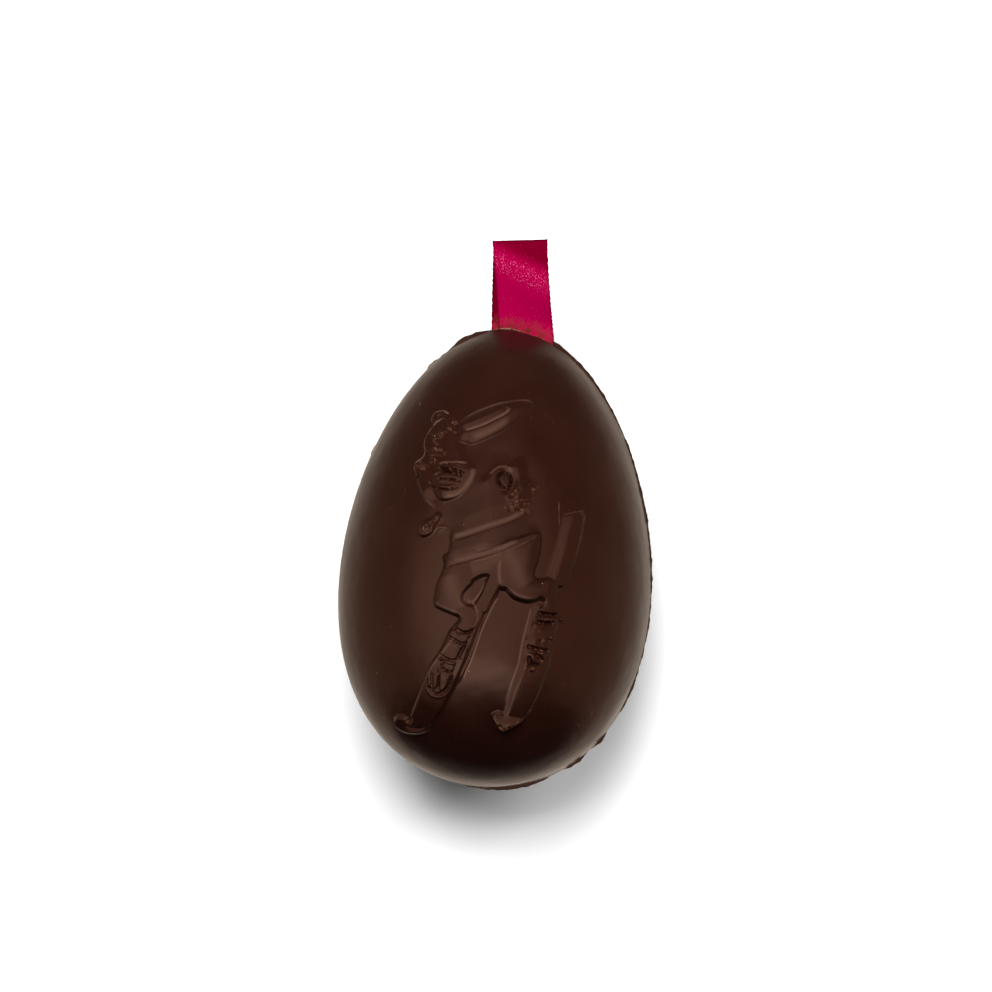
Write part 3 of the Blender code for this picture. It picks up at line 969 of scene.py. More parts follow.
    def wear_and_highlight_lines(self) -> list[Feature]:
        """The crests with painted highlight lines, partly also wear.

        Returns:
            The pale lines.
        """
        return [
            WearAndHighlight([(-12.2, 31.2), (-12.3, 32.0), (-11.8, 32.8), (-10.8, 33.3), (-9.9, 33.2),
                 (-9.4, 32.7)], 0.8),
            WearAndHighlight([(-9.9, 32.2), (-10.9, 31.6), (-11.6, 30.7), (-12.5, 29.8), (-13.0, 28.7),
                 (-13.3, 27.6), (-13.1, 26.5), (-12.9, 25.8), (-13.2, 24.9), (-13.9, 24.3),
                 (-14.6, 23.7), (-14.7, 23.0), (-14.4, 22.2)], 0.8),
            WearAndHighlight([(-14.0, 21.3), (-13.6, 20.3), (-13.1, 19.3), (-12.6, 18.4), (-12.1, 17.6),
                 (-11.1, 17.0), (-10.3, 16.9)], 0.22, 0.16),
            WearAndHighlight([(-9.9, 24.1), (-7.9, 24.4), (-6.4, 24.4), (-5.2, 24.5)], 0.5, 0.1),
            WearAndHighlight([(-7.1, 32.0), (-4.2, 33.8), (-1.1, 35.2), (1.3, 35.8), (3.6, 36.2), (4.8, 36.1),
                 (5.4, 35.6)], 0.35, 0.12),
            WearAndHighlight([(-1.2, 22.7), (-0.7, 23.3), (0.1, 24.1), (1.2, 24.4), (2.2, 24.0), (2.7, 23.3)],
                 0.3, 0.2),
            # broad pale patches: painted highlights on the slopes of the body and thighs
            WearAndHighlight([(-7.8, 8.0), (-5.7, 8.7), (-2.8, 9.6), (0.4, 11.0)], 0.22, 0.9, 0.3),
            WearAndHighlight([(2.3, 9.8), (3.8, 8.1), (4.9, 6.1), (6.4, 4.1)], 0.14, 1.6),
            WearAndHighlight([(-7.1, 5.3), (-6.2, 3.3), (-5.0, 1.3), (-4.2, -0.4)], 0.14, 1.3),
            WearAndHighlight([(-3.4, 6.3), (-1.4, 7.1), (0.6, 8.3), (2.3, 9.6)], 0.12, 1.2),
            WearAndHighlight([(-6.3, 29.9), (-4.5, 30.6), (-2.7, 31.4), (-1.0, 32.4), (0.6, 33.4), (1.6, 34.3)],
                 0.4, 0.22),
            WearAndHighlight([(-5.2, 28.6), (-3.4, 29.3), (-1.4, 30.4), (0.3, 31.6), (1.6, 32.8)], 0.25, 0.5,
                 0.25),
            WearAndHighlight([(-8.8, 18.4), (-6.9, 18.8), (-5.6, 19.8), (-4.7, 21.1), (-4.1, 22.6),
                 (-4.0, 23.8)], 0.35, 0.35),
            WearAndHighlight([(-6.9, 11.8), (-5.4, 12.2), (-3.2, 13.05), (-0.7, 14.05), (1.9, 15.1), (4.0, 16.2),
                 (5.6, 17.3)], 0.3, 0.36),
            WearAndHighlight([(-6.5, 7.6), (-4.5, 8.1), (-2.9, 8.7), (-0.4, 9.6), (2.2, 10.65), (4.7, 11.8)],
                 0.28, 0.36),
            WearAndHighlight([(-8.8, 0.4), (-8.2, -0.3), (-6.4, -0.9), (-4.9, -1.3)], 0.3, 0.3),
            WearAndHighlight([(2.9, 3.7), (4.2, 2.8), (5.6, 2.2), (7.2, 2.0), (8.6, 2.3)], 0.3, 0.3),
            WearAndHighlight([(-10.2, 12.2), (-9.5, 13.0), (-8.7, 13.2), (-7.8, 13.2)], 0.5, 0.12),
            WearAndHighlight([(1.9, 2.1), (1.1, 0.7), (0.2, -1.5), (-0.7, -4.0), (-1.4, -6.5), (-2.1, -9.1),
                 (-2.9, -11.3), (-3.6, -13.4)], 0.65, 0.12),
            WearAndHighlight([(-2.7, 0.8), (-2.1, 0.1), (-1.7, -0.9), (-1.6, -2.3), (-2.1, -3.7)], 0.5, 0.1),
            WearAndHighlight([(-0.5, 4.7), (-1.0, 3.3), (-1.6, 2.2), (-2.4, 1.1), (-3.1, 0.7), (-3.5, 1.4)],
                 0.55, 0.1),
            WearAndHighlight([(15.9, 17.0), (15.6, 14.9), (15.4, 12.8), (14.9, 10.7), (14.6, 9.3)], 0.25, 0.12),
            WearAndHighlight([(12.1, 16.7), (14.0, 17.2), (15.8, 17.6)], 0.2, 0.1),
            WearAndHighlight([(7.6, 0.7), (7.3, -1.1), (6.9, -3.2), (6.4, -6.0), (6.1, -8.5), (5.9, -9.8),
                 (4.8, -13.6), (3.9, -17.4)], 0.4, 0.12),
            WearAndHighlight([(1.7, 8.4), (1.6, 7.3), (1.7, 5.6), (2.0, 3.9)], 0.3, 0.3),
            WearAndHighlight([(-3.5, 7.5), (-1.8, 8.0), (0.2, 8.8), (3.4, 10.3), (6.8, 12.1)], 0.35, 0.1),
            WearAndHighlight([(-4.9, -4.8), (-6.0, -6.6), (-7.6, -9.0), (-9.4, -12.0), (-11.0, -16.2),
                 (-12.6, -20.8)], 0.35, 0.12),
        ]

    def shape(self, drawing: Drawing) -> None:
        """Lay every feature on the drawing, from the lowest layer up.

        Args:
            drawing: The drawing to change.
        """
        torso, lower_hem = self.trunk()
        groups = [self.skis(), torso, self.legs(), lower_hem, self.boots(), self.arms(), self.head(),
                  self.wear_and_highlight_lines()]
        for group in groups:
            for feature in group:
                feature.shape(drawing)


# ---------------------------------------------------------------- finishes


@dataclass(frozen=True)
class DarkChocolate:
    """Tempered dark chocolate out of a polished mould: a soft gloss over a near-black brown.

    The cocoa butter skin reflects like a wax, with an IOR near 1.46. It has shallow waves and pits,
    pale specks of sugar and fat, hair scratches and a faint cloud of bloom. The pits and specks are
    drawn as coarse as they need to show. Pale lines along the figure's crests are painted
    highlights, partly also wear, and orange-brown flecks on its beads and the lips of its cuts are
    painted glints. Fingers dulled it round knot, the ribbon's foot, and it is scraped to a pale tan
    where the flash was trimmed at the seam: scraped holds the bearing and spread of those places in
    degrees, and how far they reach from the seam in mm.
    """

    seam: float
    name: str = "tempered_dark_chocolate"
    scraped: tuple[tuple[float, float, float], ...] = ()
    brown: str = "#180805"
    bloom: str = "#230F0A"
    # pale colour of the hair scratches, and of the painted highlight lines along crests
    wear_and_highlight: str = "#64493E"
    # orange-brown of the painted glints on beads and cut lips
    painted_glint: str = "#5C3826"
    tan: str = "#8E7058"
    skin_tint: str = "#FFD1B8"
    ior: float = 1.46
    smooth: float = 0.15
    rough: float = 0.26
    dulled: float = 0.3
    knot: tuple[float, float] = (1.5 * MM, 47.0 * MM)
    knot_inner: float = 5.0 * MM
    knot_outer: float = 13.0 * MM
    cloud_mm: float = 9.0
    speck_mm: float = 2.4
    speck_sizes: tuple[float, float] = (0.02, 0.045)
    scratch_mm: float = 0.625
    scratch_turn: float = 0.35
    scratch_stretch: tuple[float, float, float] = (1.0, 0.055, 0.4)
    scratch_patch_mm: float = 11.0
    scrape_mm: float = 0.9
    glint_fleck_mm: float = 0.5
    wave_mm: float = 5.0
    wave_rise: float = 0.14 * MM
    pit_mm: float = 0.35
    pit_rise: float = 0.02 * MM
    pit_strength: float = 0.1

    def specks(self, tree: bpy.types.NodeTree, place: Source) -> Source:
        """Small pale specks, one in some of the cells.

        Args:
            tree: The node tree.
            place: The place on the surface.

        Returns:
            A mask of the specks.
        """
        cells = add_node(tree, "TexVoronoi", None, {
            "Vector": place, "Scale": METRE_MM / self.speck_mm})
        parts = add_node(tree, "SeparateXYZ", None, [cells.outputs["Color"]])
        chosen = add_node(tree, "MapRange", EASED, [parts.outputs["X"], 0.6, 0.64])
        size = add_node(tree, "MapRange", None, [parts.outputs["Y"], 0.0, 1.0, *self.speck_sizes])
        gap = add_node(tree, "Math", {"operation": "DIVIDE"}, [cells.outputs["Distance"], size])
        return product(tree, chosen, add_node(tree, "MapRange", EASED, [gap, 1.0, 0.6]))

    def scratches(self, tree: bpy.types.NodeTree, place: Source) -> Source:
        """Hair scratches from handling, in stretched broken lines.

        Args:
            tree: The node tree.
            place: The place on the surface.

        Returns:
            A mask of the scratches.
        """
        slant = add_node(tree, "Mapping", None, {
            "Vector": place, "Rotation": (0.0, 0.0, self.scratch_turn),
            "Scale": self.scratch_stretch})
        lines = add_node(tree, "TexNoise", None, {
            "Vector": slant, "Scale": METRE_MM / self.scratch_mm, "Detail": 1.0})
        patches = add_node(tree, "TexNoise", None, {
            "Vector": place, "Scale": METRE_MM / self.scratch_patch_mm, "Detail": 1.0})
        return product(tree, add_node(tree, "MapRange", EASED, [lines, 0.72, 0.95]),
                       add_node(tree, "MapRange", EASED, [patches, 0.5, 0.62]))

    def scrapes(self, tree: bpy.types.NodeTree, place: Source) -> Source:
        """Pale ragged patches along the seam at the bearings in scraped.

        Args:
            tree: The node tree.
            place: The place on the surface.

        Returns:
            A mask of the patches.
        """
        parts = add_node(tree, "SeparateXYZ", None, [place])
        level = add_node(tree, "Math", {"operation": "SUBTRACT"}, [parts.outputs["Z"], self.seam])
        level = add_node(tree, "Math", {"operation": "ABSOLUTE"}, [level])
        flat = add_node(tree, "VectorMath", TIMES_PLUS, [
            place, (1.0, 1.0, 0.0), (0.0, -CENTRE_MM * MM, 0.0)])
        aim = add_node(tree, "VectorMath", {"operation": "NORMALIZE"}, [flat])
        grain = add_node(tree, "TexNoise", None, {
            "Vector": place, "Scale": METRE_MM / self.scrape_mm, "Detail": 3.0, "Roughness": 0.65})
        total: Source | None = None
        for bearing, spread, reach in self.scraped:
            turn = math.radians(bearing)
            near = add_node(tree, "VectorMath", {"operation": "DOT_PRODUCT"}, [
                aim, (math.cos(turn), math.sin(turn), 0.0)])
            outer, inner = (math.cos(math.radians(share * spread)) for share in (1.0, 0.5))
            there = add_node(tree, "MapRange", EASED, [near, outer, inner])
            low = add_node(tree, "MapRange", EASED, [level, reach * MM, 0.2 * reach * MM])
            part = product(tree, there, low)
            if total is not None:
                part = add_node(tree, "Math", {"operation": "MAXIMUM"}, [total, part])
            total = part
        worn = add_node(tree, "Math", TIMES_PLUS, [total, 0.34, grain])
        return product(tree, add_node(tree, "MapRange", EASED, [worn, 0.7, 0.78]),
                       add_node(tree, "MapRange", EASED, [total, 0.0, 0.2]))

    def colour(self, tree: bpy.types.NodeTree, place: Source, cloud: Source) -> Source:
        """The clouded brown with the pale marks, painted highlights and painted glints on it.

        Args:
            tree: The node tree.
            place: The place on the surface.
            cloud: The cloud of bloom.

        Returns:
            The colour.
        """
        # painted highlights: pale lines along the figure's crests, partly also wear
        edges = add_node(tree, "Attribute", {"attribute_name": "wear_and_highlight_line"}).outputs["Fac"]
        # painted glints: orange-brown flecks on beads and cut lips, broken up by noise
        strokes = add_node(tree, "Attribute", {"attribute_name": "painted_glint"}).outputs["Fac"]
        glint_flecks = add_node(tree, "TexNoise", None, {
            "Vector": place, "Scale": METRE_MM / self.glint_fleck_mm, "Detail": 2.0})
        result = cover(tree, linear(self.brown), self.bloom, cloud)
        result = cover(tree, result, self.wear_and_highlight, edges)
        result = cover(tree, result, self.painted_glint, strokes,
                       add_node(tree, "MapRange", EASED, [glint_flecks, 0.52, 0.72]))
        result = cover(tree, result, self.wear_and_highlight, self.scratches(tree, place))
        result = cover(tree, result, self.tan, self.specks(tree, place))
        if self.scraped:
            result = cover(tree, result, self.tan, self.scrapes(tree, place))
        return result

    def roughness(self, tree: bpy.types.NodeTree, place: Source, cloud: Source) -> Source:
        """The gloss, softer in the cloud and duller round the ribbon's foot.

        Args:
            tree: The node tree.
            place: The place on the surface.
            cloud: The cloud of bloom.

        Returns:
            The roughness.
        """
        soft = add_node(tree, "MapRange", None, [cloud, 0.3, 0.7, self.smooth, self.rough])
        away = add_node(tree, "VectorMath", {"operation": "DISTANCE"}, [
            place, (*self.knot, self.seam)])
        near = add_node(tree, "MapRange", EASED, [away, self.knot_outer, self.knot_inner])
        return add_node(tree, "Math", TIMES_PLUS, [near, self.dulled, soft])

    def relief(self, tree: bpy.types.NodeTree, place: Source) -> Source:
        """The mould's shallow waves and the pits of dust.

        Args:
            tree: The node tree.
            place: The place on the surface.

        Returns:
            The bumped normal.
        """
        waves = add_node(tree, "TexNoise", None, {
            "Vector": place, "Scale": METRE_MM / self.wave_mm, "Detail": 1.0, "Roughness": 0.5})
        pits = add_node(tree, "TexNoise", None, {
            "Vector": place, "Scale": METRE_MM / self.pit_mm, "Detail": 2.0, "Roughness": 0.6})
        wide = add_node(tree, "Bump", None, {
            "Strength": 1.0, "Distance": self.wave_rise, "Height": waves})
        return add_node(tree, "Bump", None, {
            "Strength": self.pit_strength, "Distance": self.pit_rise, "Height": pits, "Normal": wide})

    def material(self) -> bpy.types.Material:
        """Build the node material.

        Returns:
            The material.
        """
        made, tree, shader = new_material(self.name)
        place = add_node(tree, "TexCoord").outputs["Object"]
        cloud = add_node(tree, "TexNoise", None, {
            "Vector": place, "Scale": METRE_MM / self.cloud_mm, "Detail": 1.5, "Roughness": 0.4})
        fill_sockets(tree, shader, {
            "IOR": self.ior, "Specular Tint": linear(self.skin_tint),
            "Base Color": self.colour(tree, place, cloud),
            "Roughness": self.roughness(tree, place, cloud), "Normal": self.relief(tree, place)})
        return made


@dataclass(frozen=True)
class SatinWeave:
    """Polyester satin ribbon, woven: deep crimson, with magenta painted on as its sheen.

    Fine diagonal floats catch the light in a sparkling band below the fold: those sparkles are
    painted on as pale pink specks, a painted highlight. The woven edges are darker, and the fold is
    painted darker as painted shade. Melted chocolate has dried in the weave above the seam, as a
    brown stain with a smear under it. Real floats and fibres are finer than 0.1 mm, so they are
    drawn as coarse as they need to show.

    fold is the fold's place along the egg, and slant how far its line drops toward the right.
    lustre gives the distances below it over which the magenta, a painted sheen, comes in; band_top
    and band_foot give those between which the painted sparkles of the highlight band come and go.
    soak, stain_end and smear_end are heights over foot where the stain fades, and foot_curve how
    the stained line bends down at the sides.
    """

    seam: float
    name: str = "crimson_polyester_satin"
    crimson: str = "#62001A"
    # painted sheen: the lighter colour laid below the fold on the front layer
    magenta: str = "#99003C"
    shade: str = "#5A0014"
    # painted highlight: the sparkles of the highlight band
    spark: str = "#D86A96"
    stain: str = "#6E2C16"
    smear: str = "#4A1C10"
    # darker colour of the woven edges, and painted shade over the fold
    edge: str = "#4A0010"
    roughness: float = 0.42
    twill_mm: float = 0.55
    twill_turn: float = 50.0
    fibre_mm: float = 0.22
    blot_mm: float = 0.9
    thread_rise: float = 0.04 * MM
    shade_share: float = 0.2
    spark_share: float = 0.6
    stain_share: float = 0.4
    smear_share: float = 0.7
    edge_share: float = 0.75
    fold: float = 64.6 * MM
    slant: float = 0.38
    lustre: tuple[float, float] = (1.2 * MM, 4.6 * MM)
    band_top: tuple[float, float] = (2.6 * MM, 4.6 * MM)
    band_foot: tuple[float, float] = (8.4 * MM, 6.6 * MM)
    foot: tuple[float, float] = (-0.5 * MM, 48.3 * MM)
    foot_curve: float = 36.0
    soak: tuple[float, float] = (4.3 * MM, 1.2 * MM)
    stain_end: tuple[float, float] = (4.3 * MM, 3.0 * MM)
    smear_end: tuple[float, float] = (1.5 * MM, 0.5 * MM)

    def stained(self, tree: bpy.types.NodeTree, place: Source, across: Source, along: Source,
                colour: Source) -> Source:
        """Soak the ribbon's foot with chocolate: a blotched stain over a dense smear.

        Args:
            tree: The node tree.
            place: The place on the ribbon.
            across: Its x.
            along: Its y.
            colour: The clean ribbon's colour.

        Returns:
            The stained ribbon's colour.
        """
        aside = add_node(tree, "Math", {"operation": "SUBTRACT"}, [across, self.foot[0]])
        drop = product(tree, product(tree, aside, aside), self.foot_curve)
        above = add_node(tree, "Math", {"operation": "SUBTRACT"}, [along, self.foot[1]])
        above = add_node(tree, "Math", {"operation": "ADD"}, [above, drop])
        blots = add_node(tree, "TexNoise", None, {
            "Vector": place, "Scale": METRE_MM / self.blot_mm, "Detail": 4.0, "Roughness": 0.75})
        wet, stain_low, smear_low = (
            add_node(tree, "MapRange", EASED, [above, *ends])
            for ends in (self.soak, self.stain_end, self.smear_end))
        soaked = add_node(tree, "Math", TIMES_PLUS, [wet, 0.3, blots])
        stains = product(tree, add_node(tree, "MapRange", EASED, [soaked, 0.66, 0.82]), stain_low)
        smears = product(tree, smear_low, add_node(tree, "MapRange", EASED, [blots, 0.4, 0.6]))
        colour = cover(tree, colour, self.stain, stains, self.stain_share)
        return cover(tree, colour, self.smear, smears, self.smear_share)

    def material(self) -> bpy.types.Material:
        """Build the node material.

        Returns:
            The material.
        """
        made, tree, shader = new_material(self.name)
        place = add_node(tree, "TexCoord").outputs["Object"]
        parts = add_node(tree, "SeparateXYZ", None, [place])
        across, along = parts.outputs["X"], parts.outputs["Y"]
        slope = add_node(tree, "Math", TIMES_PLUS, [across, self.slant, along])
        # painted sheen: magenta comes in below the fold and on the front layer only, so the fold and
        # the back layer stay the darker crimson
        lower, rise, fall = (
            add_node(tree, "MapRange", EASED, [slope, self.fold - start, self.fold - end])
            for start, end in (self.lustre, self.band_foot, self.band_top))
        front = add_node(tree, "MapRange", EASED, [
            parts.outputs["Z"], self.seam - 0.2 * MM, self.seam])
        colour = cover(tree, linear(self.crimson), self.magenta, lower, front)
        turned = add_node(tree, "Mapping", None, {
            "Vector": place, "Rotation": (0.0, 0.0, math.radians(self.twill_turn))})
        twill = add_node(tree, "TexWave", {"bands_direction": "Y"}, {
            "Vector": turned, "Scale": METRE_MM / self.twill_mm / WAVE_BANDS,
            "Distortion": 1.2, "Detail": 1.0, "Detail Scale": 2.0}).outputs["Fac"]
        fibres = add_node(tree, "TexNoise", None, {
            "Vector": place, "Scale": METRE_MM / self.fibre_mm, "Detail": 2.0, "Roughness": 0.6})
        gaps = add_node(tree, "MapRange", EASED, [twill, 0.6, 0.1])
        colour = cover(tree, colour, self.shade, gaps, self.shade_share)
        # painted highlight: pale pink sparkles in a band below the fold
        lift = add_node(tree, "Math", TIMES_PLUS, [product(tree, rise, fall), 0.11, fibres])
        sparks = add_node(tree, "MapRange", EASED, [lift, 0.69, 0.77])
        colour = cover(tree, colour, self.spark, sparks, self.spark_share)
        colour = self.stained(tree, place, across, along, colour)
        # the woven edges darken, and over the fold this darkening is painted shade
        woven = add_node(tree, "Attribute", {"attribute_name": "edge_and_fold_shade"}).outputs["Fac"]
        colour = cover(tree, colour, self.edge, woven, self.edge_share)
        heights = add_node(tree, "Math", TIMES_PLUS, [twill, 0.6, fibres])
        bump = add_node(tree, "Bump", None, {
            "Strength": 0.5, "Distance": self.thread_rise, "Height": heights})
        fill_sockets(tree, shader, {
            "Roughness": self.roughness, "Specular IOR Level": 0.0, "Base Color": colour,
            "Normal": bump})
        return made


# ---------------------------------------------------------------- the pieces


GRAIN_WAVES = (17, 29, 43, 67, 101, 149)  # how often each ripple of the rim's grain goes round


@dataclass(frozen=True)
class RimMark:
    """A place on a half's rim where chocolate stands proud, or where some is missing.

    bearing and spread are in degrees round the egg, seen from above; push and reach are in mm.
    """

    bearing: float
    spread: float
    push: float
    reach: float


@dataclass(frozen=True)
class Rim:
    """How ragged one half's rim is: its marks, and a fine grain whose height is grain in mm.

    The grain dies away over depth in mm, and nothing moves much within core mm of the centre.
    """

    marks: tuple[RimMark, ...]
    grain: float
    seed: int
    depth: float = 0.5
    core: float = 6.0

    def move(self, points: np.ndarray, seam: float) -> np.ndarray:
        """Push points near the seam outward or inward.

        Args:
            points: Points in metres.
            seam: The seam's height in metres.

        Returns:
            The moved points.
        """
        flat = points[..., :2] / MM - np.array([0.0, CENTRE_MM])
        away = np.hypot(flat[..., 0], flat[..., 1])
        bearing = np.degrees(np.arctan2(flat[..., 1], flat[..., 0]))
        level = np.abs(points[..., 2] - seam) / MM
        rng = np.random.default_rng(self.seed)
        push = np.zeros(bearing.shape)
        for waves in GRAIN_WAVES:
            size, start = rng.uniform(0.5, 1.0), rng.uniform(0.0, math.tau)
            push += size * np.sin(waves * np.radians(bearing) + start)
        push *= self.grain / 2.0 * np.exp(-((level / self.depth) ** 2))
        for mark in self.marks:
            gap = (bearing - mark.bearing + 180.0) % 360.0 - 180.0
            rise = np.clip(1.25 - np.abs(gap / mark.spread), 0.0, 1.0)
            push += mark.push * smoothstep(rise) * np.exp(-((level / mark.reach) ** 2))
        way = flat / np.maximum(away, 1e-6)[..., None]
        moved = points.copy()
        moved[..., :2] += way * (push * smoothstep(away / self.core))[..., None] * MM
        return moved


@dataclass
class FrontHalf:
    """The front half: half an egg with the figure raised on it.

    The mesh is fine over the figure: its rows gather in figure, and middle_columns lie within
    middle of the long axis, or within middle_share of the radius near the poles.
    """

    mould: EggMould
    gap: float = 0.15 * MM
    rows: int = 402
    figure: tuple[float, float] = (-25.5 * MM, 37.5 * MM)
    figure_share: float = 0.86
    flank_columns: int = 18
    flank_power: float = 1.6
    middle_columns: int = 204
    middle: float = 16.2 * MM
    middle_share: float = 0.84
    rim: Rim = Rim((
        RimMark(2.0, 60.0, 0.28, 3.0), RimMark(92.5, 5.0, 0.5, 1.5), RimMark(58.0, 26.0, 0.4, 2.5),
        RimMark(-88.0, 36.0, 0.3, 2.5), RimMark(-62.0, 24.0, 0.3, 2.0),
        RimMark(-140.0, 14.0, -0.3, 1.6), RimMark(112.8, 1.6, 0.3, 1.0),
        RimMark(143.5, 2.0, 0.25, 1.0), RimMark(78.0, 2.2, -0.3, 1.0),
        RimMark(-118.0, 2.5, -0.2, 0.8),
    ), grain=0.035, seed=4)
    scraped: tuple[tuple[float, float, float], ...] = (
        (-137.0, 16.0, 2.4), (-95.0, 9.0, 1.6), (-160.0, 8.0, 0.9), (88.0, 10.0, 1.8))

    def turns(self, radius: np.ndarray) -> np.ndarray:
        """The angle round the egg's axis of each point, row by row.

        The columns over the figure stand an even distance apart, and a few wide ones run down
        each flank.

        Args:
            radius: The egg's radius at each row.

        Returns:
            Angles from the +X seam to the -X seam.
        """
        reach = np.minimum(self.middle / np.maximum(radius, 1e-9), self.middle_share)
        even = np.linspace(1.0, -1.0, self.middle_columns)
        middle = np.arccos(reach[:, None] * even)
        flank = np.linspace(0.0, 1.0, self.flank_columns, endpoint=False) ** self.flank_power
        right = middle[:, :1] * flank
        left = math.pi - (math.pi - middle[:, -1:]) * flank[::-1]
        return np.hstack([right, middle, left])

    def build(self) -> bpy.types.Object:
        """Build the closed mesh of the half, relief and all.

        Returns:
            The half, dressed and declared.
        """
        stations = self.mould.stations(self.figure, self.figure_share, self.rows)
        radius = self.mould.radius(stations)
        turn = self.turns(radius)
        columns = turn.shape[1]
        along = np.repeat(stations[:, None], columns, axis=1)
        across, up = radius[:, None] * np.cos(turn), radius[:, None] * np.sin(turn)
        slope = np.gradient(radius, stations)
        lean = np.arctan(np.clip(slope, -60.0, 60.0))[:, None]
        way = np.stack([np.cos(turn) * np.cos(lean), -np.sin(lean) + 0 * turn,
                        np.sin(turn) * np.cos(lean)], -1)
        drawing = Drawing(across / MM, along / MM)
        SkiingRabbit().shape(drawing)
        points = np.stack([across, along, up], -1) + way * drawing.height[..., None] * MM
        points += np.array(self.mould.slip) + np.array([0.0, 0.0, self.mould.seam])
        points = self.rim.move(points, self.mould.seam)
        points[..., 2] = np.maximum(points[..., 2], self.mould.seam + self.gap)
        faces = half_faces(self.rows, columns)
        made = mesh_object("chocolate_front_half", points.reshape(-1, 3), faces, crisp=80.0)
        # where the painted highlight lines lie
        add_values(made, "wear_and_highlight_line", drawing.wear_and_highlight)
        # where the painted glints lie
        add_values(made, "painted_glint", drawing.strokes)
        finish = DarkChocolate(self.mould.seam, scraped=self.scraped)
        made.data.materials.append(finish.material())
        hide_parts("shell_front")
        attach(made, BODY)
        return made


@dataclass
class BackHalf:
    """The plain back half, with the flat spot that it lies on and flash left along its rim.

    The mesh's columns gather toward the rim, as strongly as crowd says.
    """

    mould: EggMould
    gap: float = 0.15 * MM
    rows: int = 360
    waist: tuple[float, float] = (0.0, 10.0 * MM)
    waist_share: float = 0.1
    columns: int = 96
    crowd: float = 0.12
    rim: Rim = Rim((
        RimMark(-91.0, 8.0, 1.5, 0.5), RimMark(-79.0, 9.0, 1.75, 0.4), RimMark(-66.0, 5.0, 1.3, 0.4),
        RimMark(-58.0, 4.0, 1.0, 0.4), RimMark(-45.0, 12.0, 0.35, 0.4), RimMark(101.5, 5.0, 0.5, 0.6),
        RimMark(112.8, 2.0, 0.4, 0.6),
    ), grain=0.1, seed=9)
    scraped: tuple[tuple[float, float, float], ...] = ((-94.0, 7.0, 1.2),)

    def build(self) -> bpy.types.Object:
        """Build the closed mesh of the half.

        Returns:
            The half, dressed and declared.
        """
        share = np.linspace(0.0, 1.0, self.columns)
        angles = math.pi + math.pi * (share - self.crowd * np.sin(math.tau * share))
        stations = self.mould.stations(self.waist, self.waist_share, self.rows)
        radius = self.mould.radius(stations)
        turn, along = np.meshgrid(angles, stations)
        across, up = radius[:, None] * np.cos(turn), radius[:, None] * np.sin(turn)
        points = np.stack([across, along, np.minimum(up, -self.gap) + self.mould.seam], -1)
        points = self.rim.move(points, self.mould.seam)
        points[..., 2] = np.maximum(points[..., 2], 0.0)
        faces = half_faces(self.rows, self.columns)
        made = mesh_object("chocolate_back_half", points.reshape(-1, 3), faces, crisp=60.0)
        finish = DarkChocolate(self.mould.seam, "tempered_dark_chocolate_back", self.scraped)
        made.data.materials.append(finish.material())
        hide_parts("shell_back")
        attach(made, BODY)
        return made


